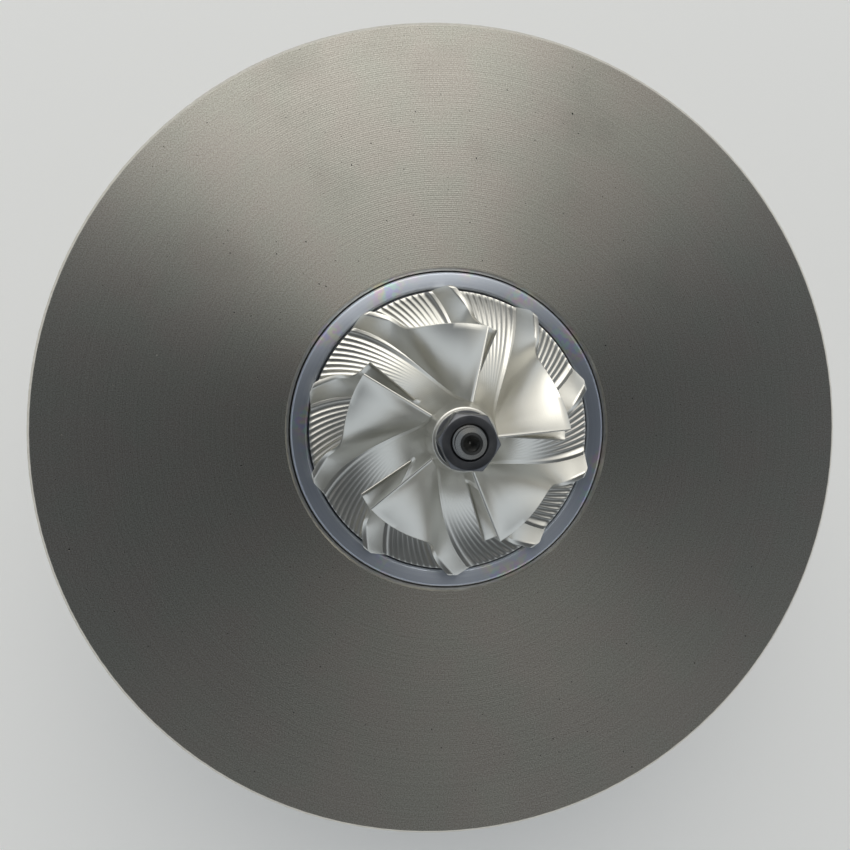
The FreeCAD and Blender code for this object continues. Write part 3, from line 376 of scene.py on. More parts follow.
@dataclass(frozen=True)
class EdgeHighlightIron(GrainedFinish):
    """The narrow edge breaks of the faced flange, in a lighter colour that is a painted highlight
    line.
    """

    name: str = "iron_edge_painted_highlight"
    # Much lighter than the faced iron: a painted highlight.
    tones: tuple[str, str] = ("#c2bdb2", "#e2dfd7")
    roughness: float = 0.3
    grain_mm: float = 0.9


@dataclass(frozen=True)
class SandCastIron(Finish):
    """Grey iron as it left the sand mould: dull, dark and evenly grainy.

    Its skin of oxide and burnt sand makes it a little less metallic than a cut face.
    """

    name: str = "sand_cast_iron"
    tones: tuple[str, str] = ("#4b4946", "#74716b")
    roughness: float = 0.62
    metallic: float = 0.85
    depth_mm: float = 0.22
    grain_mm: float = 0.7
    wave_mm: float = 7.0
    wave_share: float = 0.5
    wave_relief: float = 2.0

    def look(self, surface: Surface) -> Look:
        """Work out sand grain, broad waves of the mould and darker hollows.

        Args:
            surface: places on the surface.

        Returns:
            The look.
        """
        add = surface.add
        grain = add("TexNoise", {
            "Vector": surface.place, "Scale": scale_of(self.grain_mm), "Detail": 4.0,
            "Roughness": 0.65})
        wave = add("TexNoise", {"Vector": surface.place, "Scale": scale_of(self.wave_mm)})
        shade = add("Math", {0: wave, 1: self.wave_share, 2: grain},
                    operation="MULTIPLY_ADD")
        tone = add("MapRange", {"Value": shade, "From Min": 0.5, "From Max": 1.0},
                   interpolation_type="SMOOTHSTEP")
        height = add("Math", {0: wave, 1: self.wave_relief, 2: grain},
                     operation="MULTIPLY_ADD")
        return Look(tone, height, self.roughness)


@dataclass(frozen=True)
class MilledAluminium(Finish):
    """Forging alloy milled from solid with a ball cutter: bright, satin, cold white.

    The cutter leaves faint lines along its path, on top of the modelled scallops.
    """

    name: str = "milled_aluminium"
    tones: tuple[str, str] = ("#bfbeb7", "#d1cfc8")
    roughness: float = 0.32
    roughness_spread: float = 0.12
    depth_mm: float = 0.006
    grain_mm: float = 0.5
    cloud_mm: float = 6.0
    # In the units of the piece's own map: millimetres up a blade, passages on the hub.
    line_pitch: float = 0.3
    line_wander: float = 9.0
    line_relief: float = 0.12

    def look(self, surface: Surface) -> Look:
        """Work out cutter lines along the path, held in the piece's own map, and a grain.

        Args:
            surface: places on the surface.

        Returns:
            The look.
        """
        add = surface.add
        across = add("SeparateXYZ", {0: add("UVMap").outputs[0]}).outputs["Y"]
        grain = add("TexNoise", {
            "Vector": surface.place, "Scale": scale_of(self.grain_mm), "Detail": 3.0})
        cloud = add("TexNoise", {"Vector": surface.place, "Scale": scale_of(self.cloud_mm)})
        wander = add("Math", {0: cloud, 1: self.line_wander}, operation="MULTIPLY")
        phase = add("Math", {0: across, 1: FULL_TURN / self.line_pitch, 2: wander},
                    operation="MULTIPLY_ADD")
        lines = add("Math", {0: phase}, operation="SINE")
        height = add("Math", {0: lines, 1: self.line_relief, 2: grain},
                     operation="MULTIPLY_ADD")
        return Look(cloud, height, self.varied_roughness(surface, cloud))


@dataclass(frozen=True)
class FineTurnedAluminium(Finish):
    """Aluminium finished with a fine feed: its close marks split light into faint colours.

    The colours are painted glints, held in fixed places round the ring as pale violet, green,
    rose and straw.
    """

    name: str = "fine_turned_aluminium"
    tones: tuple[str, str] = ("#a8b0bf", "#cdd1d6")
    roughness: float = 0.36
    anisotropy: float = 0.85
    depth_mm: float = 0.005
    # Marks that split light are about 0.02 mm apart. They are drawn coarser, to show.
    pitch_mm: float = 0.16
    mark_relief: float = 0.3
    band_mm: float = 0.35
    # Colours of the painted glints, then the sizes of their tints and patches and how strongly
    # they are laid on.
    cool_glint_tints: tuple[str, str] = ("#b9b4e8", "#b4dfd2")
    warm_glint_tints: tuple[str, str] = ("#e3b7cf", "#dfdcb0")
    tint_mm: float = 1.1
    warmth_mm: float = 2.3
    glint_patch_mm: float = 10.0
    painted_glint_share: float = 0.5

    def look(self, surface: Surface) -> Look:
        """Work out close feed marks, rings of tone and painted glints of faint colour.

        Args:
            surface: places on the surface.

        Returns:
            The look.
        """
        add = surface.add
        bands = surface.bands(self.band_mm)
        # Painted glints: patches of faint colour laid over the ring's own tone, standing in for
        # light that the feed marks split.
        tint = surface.patches(self.tint_mm, low=0.4, high=0.6)
        cool, warm = (
            add("Mix", {0: tint, 6: linear(first), 7: linear(second)}, data_type="RGBA")
            for first, second in (self.cool_glint_tints, self.warm_glint_tints))
        warmth = surface.patches(self.warmth_mm, low=0.42, high=0.58)
        painted_glint = add("Mix", {0: warmth, 6: cool, 7: warm}, data_type="RGBA")
        where = surface.patches(self.glint_patch_mm, low=0.5, high=0.68)
        share = add("Math", {0: where, 1: self.painted_glint_share}, operation="MULTIPLY")
        marks = surface.feed_marks(self.pitch_mm)
        height = add("Math", {0: marks, 1: self.mark_relief, 2: bands},
                     operation="MULTIPLY_ADD")
        return Look(bands, height, self.roughness, ((share, painted_glint),))


@dataclass(frozen=True)
class BlackOxideSteel(Finish):
    """Steel blackened in hot salts: a dark cool grey under an uneven film of oil."""

    name: str = "black_oxide_steel"
    tones: tuple[str, str] = ("#55575c", "#6a6a6b")
    roughness: float = 0.36
    roughness_spread: float = 0.16
    depth_mm: float = 0.004
    grain_mm: float = 0.25
    film_mm: float = 1.4

    def look(self, surface: Surface) -> Look:
        """Work out the oil film and a little grain.

        Args:
            surface: places on the surface.

        Returns:
            The look.
        """
        add = surface.add
        film = add("TexNoise", {
            "Vector": surface.place, "Scale": scale_of(self.film_mm), "Detail": 3.0})
        grain = add("TexNoise", {"Vector": surface.place, "Scale": scale_of(self.grain_mm)})
        return Look(film, grain, self.varied_roughness(surface, film))


@dataclass(frozen=True)
class TurnedMetal(Finish):
    """Metal cut or ground round its axis: rings of tone that are also its relief."""

    anisotropy: float = 0.5
    band_mm: float = 0.3

    def look(self, surface: Surface) -> Look:
        """Work out the rings."""
        bands = surface.bands(self.band_mm)
        return Look(bands, bands, self.roughness)


@dataclass(frozen=True)
class GroundSteel(TurnedMetal):
    """Hardened steel ground between centres: grey, with fine marks round the axis."""

    name: str = "ground_steel"
    tones: tuple[str, str] = ("#5c5c5b", "#7b7b79")
    roughness: float = 0.26
    depth_mm: float = 0.004
    band_mm: float = 0.12


@dataclass(frozen=True)
class BearingBronze(TurnedMetal):
    """Leaded bronze, bored and turned: yellow-brown with fine marks round the axis."""

    name: str = "bearing_bronze"
    tones: tuple[str, str] = ("#a97f45", "#c79e62")
    roughness: float = 0.3


@dataclass(frozen=True)
class InvestmentCastAlloy(Finish):
    """Nickel alloy cast in a ceramic shell: fine-grained, warm grey, softly shining."""

    name: str = "investment_cast_alloy"
    tones: tuple[str, str] = ("#7f7a72", "#a09b92")
    roughness: float = 0.44
    depth_mm: float = 0.05
    grain_mm: float = 0.35
    patch_mm: float = 5.0

    def look(self, surface: Surface) -> Look:
        """Work out shell grain and soft patches of tone.

        Args:
            surface: places on the surface.

        Returns:
            The look.
        """
        add = surface.add
        grain = add("TexNoise", {
            "Vector": surface.place, "Scale": scale_of(self.grain_mm), "Detail": 4.0,
            "Roughness": 0.6})
        patch = add("TexNoise", {"Vector": surface.place, "Scale": scale_of(self.patch_mm)})
        return Look(patch, grain, self.roughness)


@dataclass(frozen=True)
class PressedStainless(Finish):
    """Stainless sheet drawn into a cup: smooth, with rolling grain and faint waves."""

    name: str = "pressed_stainless"
    tones: tuple[str, str] = ("#a3a19b", "#c1bfb9")
    roughness: float = 0.3
    depth_mm: float = 0.012
    grain_mm: float = 0.2
    grain_stretch: float = 0.06
    wave_mm: float = 6.0
    wave_relief: float = 4.0

    def look(self, surface: Surface) -> Look:
        """Work out rolling grain along X and faint waves from the press.

        Args:
            surface: places on the surface.

        Returns:
            The look.
        """
        add = surface.add
        stretched = add("Mapping", {
            "Vector": surface.place, "Scale": (self.grain_stretch, 1.0, 1.0)})
        grain = add("TexNoise", {"Vector": stretched, "Scale": scale_of(self.grain_mm)})
        wave = add("TexNoise", {
            "Vector": surface.place, "Scale": scale_of(self.wave_mm), "Detail": 1.0})
        height = add("Math", {0: wave, 1: self.wave_relief, 2: grain},
                     operation="MULTIPLY_ADD")
        return Look(grain, height, self.roughness)


@dataclass(frozen=True)
class SealRubber(GrainedFinish):
    """Moulded nitrile rubber: black, matt, with a fine bloom."""

    name: str = "nitrile_rubber"
    tones: tuple[str, str] = ("#19191a", "#29292b")
    roughness: float = 0.62
    metallic: float = 0.0
    depth_mm: float = 0.02
    grain_mm: float = 0.8
    grain_detail: float = 3.0


# ---------------------------------------------------------------- meshes


def grid_quads(rows: int, columns: int, wrap_rows: bool, wrap_columns: bool) -> Array:
    """Return the (row, column) of each quad's corners on a grid, before wrapping.

    Args:
        rows: number of rows of points.
        columns: number of columns of points.
        wrap_rows: whether the last row joins the first.
        wrap_columns: whether the last column joins the first.

    Returns:
        Whole numbers of shape (quads, 4, 2).
    """
    row, column = np.meshgrid(
        np.arange(rows - (not wrap_rows)), np.arange(columns - (not wrap_columns)),
        indexing="ij")
    around = ((row, column), (row, column + 1), (row + 1, column + 1), (row + 1, column))
    corners = [np.stack(pair, axis=-1) for pair in around]
    return np.stack(corners, axis=2).reshape(-1, 4, 2)


def make_piece(name: str, points: Array, quads: Array, crease: float,
               flow: Array | None = None) -> Object:
    """Make a closed piece from points in millimetres and quads.

    The quads are turned outwards by the sign of the volume they enclose: the sum over
    the quads of their middle dotted with the cross product of their diagonals.

    Args:
        name: the piece's name.
        points: shape (points, 3).
        quads: point numbers, shape (quads, 4).
        crease: angle between faces above which an edge stays sharp.
        flow: UV of each quad's corners, shape (quads, 4, 2).

    Returns:
        The object, at the origin.
    """
    corners = points[quads]
    across = np.cross(corners[:, 2] - corners[:, 0], corners[:, 3] - corners[:, 1])
    if np.sum(corners.mean(axis=1) * across) < 0:
        quads = quads[:, ::-1]
        flow = None if flow is None else flow[:, ::-1]
    mesh = bpy.data.meshes.new(name)
    mesh.vertices.add(len(points))
    mesh.vertices.foreach_set("co", (points * MM).astype(np.float32).ravel())
    mesh.loops.add(quads.size)
    mesh.loops.foreach_set("vertex_index", quads.astype(np.int32).ravel())
    mesh.polygons.add(len(quads))
    mesh.polygons.foreach_set("loop_start", np.arange(0, quads.size, 4, dtype=np.int32))
    mesh.update(calc_edges=True)
    if flow is not None:
        layer = mesh.uv_layers.new(name="flow")
        layer.data.foreach_set("uv", flow.astype(np.float32).ravel())
    mesh.polygons.foreach_set("use_smooth", np.ones(len(quads), dtype=bool))
    mesh.set_sharp_from_angle(angle=math.radians(crease))
    item = bpy.data.objects.new(name, mesh)
    bpy.context.scene.collection.objects.link(item)
    return item


def cylindrical(radius: Array, angle: Array, height: Array) -> Array:
    """Return points from radius, angle in radians and height: (r cos a, r sin a, z)."""
    radius, angle, height = np.broadcast_arrays(radius, angle, height)
    return np.stack([radius * np.cos(angle), radius * np.sin(angle), height], axis=-1)


def softened(profile: Array, cuts: tuple[float, ...], steps: int = 3) -> Array:
    """Round the corners of a closed profile.

    Each corner gives way to a curve (1-t)^2 a + 2t(1-t) corner + t^2 b between the
    points a and b that lie the corner's cut away from it on its two sides, or at most
    0.45 of the side.

    Args:
        profile: corners, shape (corners, ..., 2).
        cuts: length taken off the sides at each corner; 0 keeps the corner.
        steps: number of short sides along a rounded corner.

    Returns:
        The rounded profile, in the same layout.
    """
    rows, most, tiny = [], 0.45, 1e-6
    for index, cut in enumerate(cuts):
        here = profile[index]
        if cut == 0:
            rows.append(here)
            continue
        ends = []
        for other in (profile[index - 1], profile[(index + 1) % len(profile)]):
            side = other - here
            length = np.linalg.norm(side, axis=-1, keepdims=True)
            ends.append(here + side * np.minimum(cut / np.maximum(length, tiny), most))
        for t in np.linspace(0, 1, steps + 1):
            rows.append((1 - t) ** 2 * ends[0] + 2 * t * (1 - t) * here + t ** 2 * ends[1])
    return np.stack(rows)


def turned_piece(name: str, profile: Array, columns: int = 360, crease: float = 28.0) -> Object:
    """Turn a closed profile about Z.

    Args:
        name: the piece's name.
        profile: (radius, height) pairs, or one such pair for each column.
        columns: number of columns round the axis.
        crease: angle between faces above which an edge stays sharp.

    Returns:
        The object.
    """
    angle = np.linspace(0, FULL_TURN, columns, endpoint=False)
    if profile.ndim == 2:
        profile = profile[:, None, :]
    points = cylindrical(profile[..., 0], angle[None, :], profile[..., 1])
    rows = len(profile)
    cells = grid_quads(rows, columns, True, True)
    quads = (cells[..., 0] % rows) * columns + cells[..., 1] % columns
    return make_piece(name, points.reshape(-1, 3), quads, crease)


def joined_copy(node: str, name: str, crease: float) -> Object:
    """Copy a solid's mesh with its loose triangles joined, so that it shades smoothly.

    Args:
        node: the solid's name.
        name: the new piece's name.
        crease: angle between faces above which an edge stays sharp.

    Returns:
        The new piece, which stands for the solid.
    """
    seam = 0.002 * MM
    shape = bmesh.new()
    shape.from_mesh(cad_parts[node].data)
    bmesh.ops.remove_doubles(shape, verts=shape.verts, dist=seam)
    mesh = bpy.data.meshes.new(name)
    shape.to_mesh(mesh)
    shape.free()
    mesh.materials.clear()
    # Joining the corners leaves stored normals that would shade flat faces as curved.
    stored = mesh.attributes.get("custom_normal")
    if stored:
        mesh.attributes.remove(stored)
    mesh.polygons.foreach_set("use_smooth", np.ones(len(mesh.polygons), dtype=bool))
    mesh.set_sharp_from_angle(angle=math.radians(crease))
    item = bpy.data.objects.new(name, mesh)
    bpy.context.scene.collection.objects.link(item)
    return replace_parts(item, node)


def settle(item: Object, body: Body, materials: list[Material]) -> Object:
    """Dress a new piece, tie it to its body, and report it.

    Args:
        item: the piece.
        body: the body that it moves with.
        materials: its materials, in the order of its faces' numbers.

    Returns:
        The same piece.
    """
    for material in materials:
        item.data.materials.append(material)
    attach(item, body.value)
    LOG.info("%s: %d faces", item.name, len(item.data.polygons))
    return item


# ---------------------------------------------------------------- compressor wheel


@dataclass(frozen=True)
class CompressorWheel:
    """Wheel milled from solid: turned hub, five full blades and five splitter blades.

    The hub line is a quarter ellipse. Every blade follows one line of angles on the hub
    and another on its tips; a splitter is the same blade half a pitch on, without its
    first stretch. A share runs along a blade from its leading edge, 0, to its outlet, 1.
    """

    disc_radius: float = 24.0
    disc_edge_height: float = 0.5
    rim_thickness: float = 1.5
    rim_drop: float = 0.05
    edge_break: float = 0.07
    back_flat_radius: float = 20.4
    boss_radius: float = 6.5
    boss_height: float = -5.0
    boss_step: float = 0.2
    boss_flare: float = 1.0
    bore_radius: float = 2.51
    hub_radius: float = 5.45
    hub_height: float = 16.9
    nose_radius: float = 4.85
    nose_height: float = 21.3
    nose_step: float = 0.4
    outlet_radius: float = 24.86
    outlet_height: float = 3.2
    inlet_radius: float = 17.74
    inlet_height: float = 14.6
    pairs: int = 5
    splitter_start: float = 0.342
    # Angle at the leading edge, turn of the whole blade, and fullness and skew of its law.
    root_start: float = 71.1
    root_turn: float = 62.9
    root_law: tuple[float, float] = (0.66, 0.35)
    tip_start: float = 75.0
    tip_turn: float = 51.1
    tip_law: tuple[float, float] = (1.4, 1.52)
    tip_wave: float = 0.43
    # Powers that shape the turned outline of the tips: of the share, radius and height.
    tip_powers: tuple[float, float, float] = (1.5, 0.8, 0.72)
    tip_thickness: float = 0.55
    tip_break: float = 0.06
    root_thickness: float = 0.95
    # Share of the thickness at the leading edge, the run over which it fills out, and the
    # run over which the edge is rounded.
    edge_share: float = 0.5
    edge_run: float = 0.12
    rounding_run: float = 0.013
    root_depth: float = 0.5
    corner_run: float = 0.022
    corner_drop: float = 0.16
    fillet: float = 0.25
    least_margin: float = 0.012
    margin_run: float = 0.1
    cutter_radius: float = 0.85
    passes: int = 12
    pass_columns: int = 6
    side_columns: int = 4
    neck_rows: int = 13
    hub_rows: int = 66
    hub_end: float = 0.996
    bore_rows: int = 14
    # Shares of the leading edge's rounding, and numbers of points on a blade's body and
    # its rounded outlet corner, and of rings from its root to its tip.
    rounding_steps: tuple[float, ...] = (0.02, 0.1, 0.28, 0.6)
    body_points: int = 44
    corner_points: int = 8
    levels: int = 14
    top_level: float = 0.994
    # Length and height of a blade in its map, in which the cutter's lines are drawn.
    map_size: tuple[float, float] = (27.0, 11.0)

    @property
    def half_pitch(self) -> float:
        """Angle between a full blade and the next splitter, in radians."""
        return math.pi / self.pairs

    @staticmethod
    def eased(share: Array, fullness: float, skew: float) -> Array:
        """Share of the turn: s + s(1-s)(fullness + skew(1-2s))."""
        return share + share * (1 - share) * (fullness + skew * (1 - 2 * share))

    def hub_line(self, share: Array) -> tuple[Array, Array, Array, Array]:
        """Quarter ellipse of the hub: (R - a cos t, H - b sin t) with t = share pi/2.

        Args:
            share: share of the way from the inlet, 0, to the rim, 1.

        Returns:
            Radius, height, and the two parts of the outward normal.
        """
        turn = math.pi / 2 * share
        wide, tall = self.disc_radius - self.hub_radius, self.hub_height - self.disc_edge_height
        radius = self.disc_radius - wide * np.cos(turn)
        height = self.hub_height - tall * np.sin(turn)
        out, up = tall * np.cos(turn), wide * np.sin(turn)
        length = np.hypot(out, up)
        return radius, height, out / length, up / length

    def root_angle(self, share: Array) -> Array:
        """Angle of the first blade on the hub, in radians."""
        return np.radians(self.root_start + self.root_turn * self.eased(share, *self.root_law))

    def root(self, share: Array) -> tuple[Array, Array, Array]:
        """Blade line sunk into the hub along the hub's normal.

        Args:
            share: shares along the blade.

        Returns:
            Radius, angle in radians and height.
        """
        radius, height, out, up = self.hub_line(share)
        depth = self.root_depth
        return radius - depth * out, self.root_angle(share), height - depth * up

    def tip(self, share: Array) -> tuple[Array, Array, Array]:
        """Blade line on the turned outline of the tips.

        With l = s^1.5 and t = l pi/2, radius and height follow 1 - cos(t)^0.8 and
        1 - sin(t)^0.72 between inlet and outlet. The turn is the eased l plus a wave of
        m (1 - 6m), with m = l (1 - l).

        Args:
            share: shares along the blade.

        Returns:
            Radius, angle in radians and height.
        """
        share_power, radius_power, height_power = self.tip_powers
        late = share ** share_power
        turn = math.pi / 2 * late
        radius = self.inlet_radius + (self.outlet_radius - self.inlet_radius) * (
            1 - np.abs(np.cos(turn)) ** radius_power)
        height = self.outlet_height + (self.inlet_height - self.outlet_height) * (
            1 - np.sin(turn) ** height_power)
        middle = late * (1 - late)
        wrapped = self.eased(late, *self.tip_law) + self.tip_wave * middle * (1 - 6 * middle)
        return radius, np.radians(self.tip_start + self.tip_turn * wrapped), height

    def lean(self, share: Array) -> Array:
        """Cosine between the blade's line on the hub and the meridian.

        Args:
            share: shares along the blade.

        Returns:
            Length along the meridian over the length along the blade, for a short step.
        """
        step = 1e-3
        low, high = np.maximum(share - step, 0), np.minimum(share + step, 1)
        near, far = self.hub_line(low), self.hub_line(high)
        along = np.hypot(far[0] - near[0], far[1] - near[1])
        turned = self.root_angle(high) - self.root_angle(low)
        return along / np.hypot(along, self.hub_line(share)[0] * turned)

    def root_half(self, share: Array, start: float) -> Array:
        """Half thickness at the root: thin at the leading edge, full a short way on."""
        rise = np.clip((share - start) / self.edge_run, 0, 1)
        return self.root_thickness / 2 * (self.edge_share + (1 - self.edge_share) * rise)

    def rows(self) -> dict[str, Array]:
        """Rows of the hub's closed outline, from the nose down to the rim and back.

        Returns:
            Arrays by name: radius, height, out and up (the normal), share, path (the
            distance along the hub from the leading edges), lift (how much of the
            scallops and fillets the row takes) and twist (share of the blades' turn).
        """
        nose, top, small = self.nose_radius, self.nose_height, self.edge_break
        low, slim = top - self.nose_step, nose - self.nose_step
        cap = [(self.bore_radius, top), (slim - small, top), (slim, top - small), (slim, low),
               (nose - small, low), (nose, low - small)]
        lead = np.linspace(0, 1, self.neck_rows + 2)[1:-1]
        fall, widening = self.hub_height - (low - small), self.hub_radius - nose
        neck_height = low - small + fall * lead
        share = np.linspace(0, self.hub_end, self.hub_rows)
        radius, height, out, up = self.hub_line(share)
        path = np.concatenate([[0], np.cumsum(np.hypot(np.diff(radius), np.diff(height)))])
        edge, rim = self.disc_radius, self.disc_edge_height
        back, boss = rim - self.rim_thickness, self.boss_height
        rest = [(edge, rim - self.rim_drop), (edge, back + small), (edge - small, back),
                (self.back_flat_radius, back),
                (self.boss_radius + self.boss_flare, boss + self.boss_step),
                (self.boss_radius, boss), (self.bore_radius, boss)]
        climb = np.linspace(boss, top, self.bore_rows + 2)[1:-1]
        counts = [len(cap), len(lead), len(share), len(rest), len(climb)]
        neck_out = np.array([-fall, widening]) / math.hypot(fall, widening)
        cap, rest = np.array(cap), np.array(rest)
        lifted = np.eye(1, len(rest))[0]
        far_ahead = -9.0
        unwound = np.linspace(1, 0, self.bore_rows + 2)[1:-1]

        def joined(*values: Array | float) -> Array:
            """Put the values of the five stretches in one array, single ones repeated."""
            return np.concatenate([
                np.broadcast_to(value, (count,)) for value, count in zip(values, counts)])

        return {
            "radius": joined(cap[:, 0], nose + widening * lead, radius, rest[:, 0],
                             self.bore_radius),
            "height": joined(cap[:, 1], neck_height, height, rest[:, 1], climb),
            "out": joined(0.0, neck_out[0], out, 0.0, 0.0),
            "up": joined(0.0, neck_out[1], up, 1.0, 0.0),
            "share": joined(0.0, 0.0, share, 1.0, 1.0),
            "path": joined(far_ahead, self.hub_height - neck_height, path, path[-1], path[-1]),
            "lift": joined(0.0, 1.0, 1.0, lifted, 0.0),
            "twist": joined(0.0, 0.0, share, 1.0, unwound),
        }

    def passage(self, row: dict[str, Array], starts: tuple[float, float]) -> tuple[Array, Array]:
        """Milled surface between two neighbouring blades.

        It is a row of concave cuts of the ball cutter, w^2 / 8R high at their ridges for
        a stepover w. Near a blade it rises on a quarter circle, R - sqrt(R^2 - (R - d)^2)
        at distance d. The columns beside a blade keep a margin of its half thickness and
        its fillet, eased in from almost nothing where the blade begins.

        Args:
            row: the hub's rows, each array as one column.
            starts: shares at which the blades on the two sides begin.

        Returns:
            Place of each column between the blades, 0 to 1, and the rise of each point.
        """
        share, path = row["share"], row["path"]
        arc = row["radius"] * self.half_pitch * self.lean(share)
        margins = []
        for start in starts:
            full = (self.root_half(share, start) + self.fillet) / arc
            near = np.clip((share - start + self.margin_run) / self.margin_run, 0, 1)
            eased = near ** 2 * (3 - 2 * near)
            margins.append(self.least_margin + (full - self.least_margin) * eased)
        first, last = margins
        zone = 1 - first - last
        side = np.arange(self.side_columns) / self.side_columns
        cuts = np.arange(self.passes * self.pass_columns) / self.pass_columns
        spot = np.concatenate([
            first * side, first + zone * cuts / self.passes, 1 - last + last * side], axis=1)
        ridge = (arc * zone / self.passes) ** 2 / (8 * self.cutter_radius)
        cut = np.concatenate([side * 0, cuts % 1, side * 0])
        rise = ridge * (2 * cut - 1) ** 2
        for away, start in zip((spot, 1 - spot), starts):
            ahead = np.maximum(np.interp(start, share[:, 0], path[:, 0]) - path, 0)
            gap = np.hypot(ahead, arc * away) - self.root_half(share, start)
            gap = np.clip(gap, 0, self.fillet)
            climb = self.fillet - np.sqrt(self.fillet ** 2 - (self.fillet - gap) ** 2)
            rise = np.maximum(rise, climb + ridge * (gap < self.fillet))
        return spot, rise * row["lift"]

    def hub(self) -> Object:
        """Hub with its milled scallops and root fillets, on columns that follow the blades.

        A column's angle is the root line's angle plus its place among the blades times
        half a pitch, and each point is lifted by its rise along the hub's normal.

        Returns:
            The piece. Its map holds the path along the hub and the passage across it.
        """
        row = {name: value[:, None] for name, value in self.rows().items()}
        starts = (0.0, self.splitter_start)
        sides = [self.passage(row, starts), self.passage(row, starts[::-1])]
        turns = range(2 * self.pairs)
        spots = np.concatenate([sides[turn % 2][0] + turn for turn in turns], axis=1)
        rise = np.concatenate([sides[turn % 2][1] for turn in turns], axis=1)
        angle = self.root_angle(row["twist"]) + self.half_pitch * spots
        points = cylindrical(
            row["radius"] + row["out"] * rise, angle, row["height"] + row["up"] * rise)
        rows, columns = spots.shape
        cells = grid_quads(rows, columns, True, True)
        down, across = cells[..., 0] % rows, cells[..., 1] % columns
        around = spots[down, across] + 2 * self.pairs * (cells[..., 1] == columns)
        flow = np.stack([row["path"][down, 0], around], axis=-1)
        return make_piece(
            "compressor_wheel_hub", points.reshape(-1, 3), down * columns + across,
            crease=50.0, flow=flow)

    def blades(self) -> Object:
        """All ten blades as closed shells with a round leading edge.

        A full blade and a splitter are worked out once each and turned to their places.
        The shares stand close together along the leading edge and the outlet corner.

        Returns:
            The piece. Its map holds the way along a blade and up it, in millimetres.
        """
        points, quads, flows = [], [], []
        for start, first in ((0.0, 0.0), (self.splitter_start, self.half_pitch)):
            corner = np.cos(np.linspace(0, math.pi / 2, self.corner_points + 1)[1:])
            body_end = 1 - start - self.corner_run
            share = start + np.concatenate([
                self.rounding_run * np.array(self.rounding_steps),
                np.linspace(self.rounding_run, body_end, self.body_points),
                1 - start - self.corner_run * corner])
            sides = self.blade_sides(share, start)
            levels, ring = sides.shape[:2]
            cells = grid_quads(levels, ring, False, True)
            walls = cells[..., 0] * ring + cells[..., 1] % ring
            edge = np.arange(len(share) - 1)
            cap = np.stack([edge, edge + 1, ring - 2 - edge, ring - 1 - edge], axis=-1)
            blade = np.concatenate([walls, cap[:, ::-1], cap + (levels - 1) * ring])
            chord = np.concatenate([share, share[::-1]]) * self.map_size[0]
            span = np.linspace(0, self.map_size[1], levels)
            flow = np.stack(np.broadcast_arrays(chord[None, :], span[:, None]), axis=-1)
            flow = flow.reshape(-1, 2)[blade]
            for index in range(self.pairs):
                turn = first + 2 * self.half_pitch * index
                quads.append(blade + sum(len(done) for done in points))
                points.append(cylindrical(
                    sides[..., 0], sides[..., 1] + turn, sides[..., 2]).reshape(-1, 3))
                flows.append(flow)
        return make_piece(
            "compressor_wheel_blades", np.concatenate(points), np.concatenate(quads),
            crease=38.0, flow=np.concatenate(flows))

    def blade_edge(self, share: Array, law: Array, at_tip: bool, trim: float) -> Array:
        """Closed ring round a blade's thickness on its root line or its tip line.

        Each side lies half a thickness off, turned round the axis by half / (r cos b),
        with b the angle between the blade's normal and the direction of turning.

        Args:
            share: shares along the blade.
            law: share of the thickness that the blade has there.
            at_tip: whether the ring follows the tip line.
            trim: what is taken off each side.

        Returns:
            Points, shape (ring, 3), down one side from the leading edge and back up the
            other.
        """
        curve, other = (self.tip, self.root) if at_tip else (self.root, self.tip)
        thickness = self.tip_thickness if at_tip else self.root_thickness
        step, least_slant, least_half = 0.01, 0.2, 0.02
        radius, angle, height = curve(share)
        ahead = cylindrical(*curve(np.minimum(share + step, 1)))
        behind = cylindrical(*curve(np.maximum(share - step, 0)))
        up = cylindrical(*other(share)) - cylindrical(radius, angle, height)
        normal = np.cross(ahead - behind, up)
        around = cylindrical(np.ones_like(angle), angle + math.pi / 2, np.zeros_like(angle))
        slant = np.abs(np.sum(normal * around, axis=1)) / np.linalg.norm(normal, axis=1)
        half = np.maximum(thickness / 2 - trim, least_half) * law
        shift = half / (radius * np.maximum(slant, least_slant))
        left, right = (cylindrical(radius, angle + side * shift, height) for side in (1, -1))
        return np.concatenate([left, right[::-1]])

    def blade_sides(self, share: Array, start: float) -> Array:
        """Rings of a blade from root to tip, each a straight mix of its two edge rings.

        The leading edge closes on an ellipse, sqrt(1 - (1 - x)^2), the tip's edges are
        broken by a last ring that is a little thinner, and the corner between the tip
        and the outlet is rounded to a quarter ellipse.

        Args:
            share: shares along the blade.
            start: share at which the blade begins.

        Returns:
            Radius, angle in radians and height, shape (levels, ring, 3).
        """
        rise = np.clip((share - start) / self.edge_run, 0, 1)
        law = self.edge_share + (1 - self.edge_share) * rise
        law = law * np.sqrt(1 - (1 - np.clip((share - start) / self.rounding_run, 0, 1)) ** 2)
        late = np.clip((share - 1 + self.corner_run) / self.corner_run, 0, 1)
        limit = 1 - self.corner_drop * (1 - np.sqrt(1 - late ** 2))
        limit = np.concatenate([limit, limit[::-1]])[:, None]
        mixes = [(level, 0.0) for level in np.linspace(0, self.top_level, self.levels)]
        rings = []
        for level, trim in mixes + [(1.0, self.tip_break)]:
            foot, crown = (self.blade_edge(share, law, at_tip, trim) for at_tip in (False, True))
            rings.append((1 - level * limit) * foot + level * limit * crown)
        x, y, z = np.moveaxis(np.stack(rings), -1, 0)
        return np.stack([np.hypot(x, y), np.arctan2(y, x), z], axis=-1)

    def build(self, metal: Material) -> None:
        """Make the hub and the blades, which stand for the wheel together.

        Args:
            metal: the wheel's material.
        """
        for item in (self.hub(), self.blades()):
            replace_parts(item, "compressor_wheel")
            settle(item, Body.ROTOR, [metal])


# ---------------------------------------------------------------- nut, insert and others


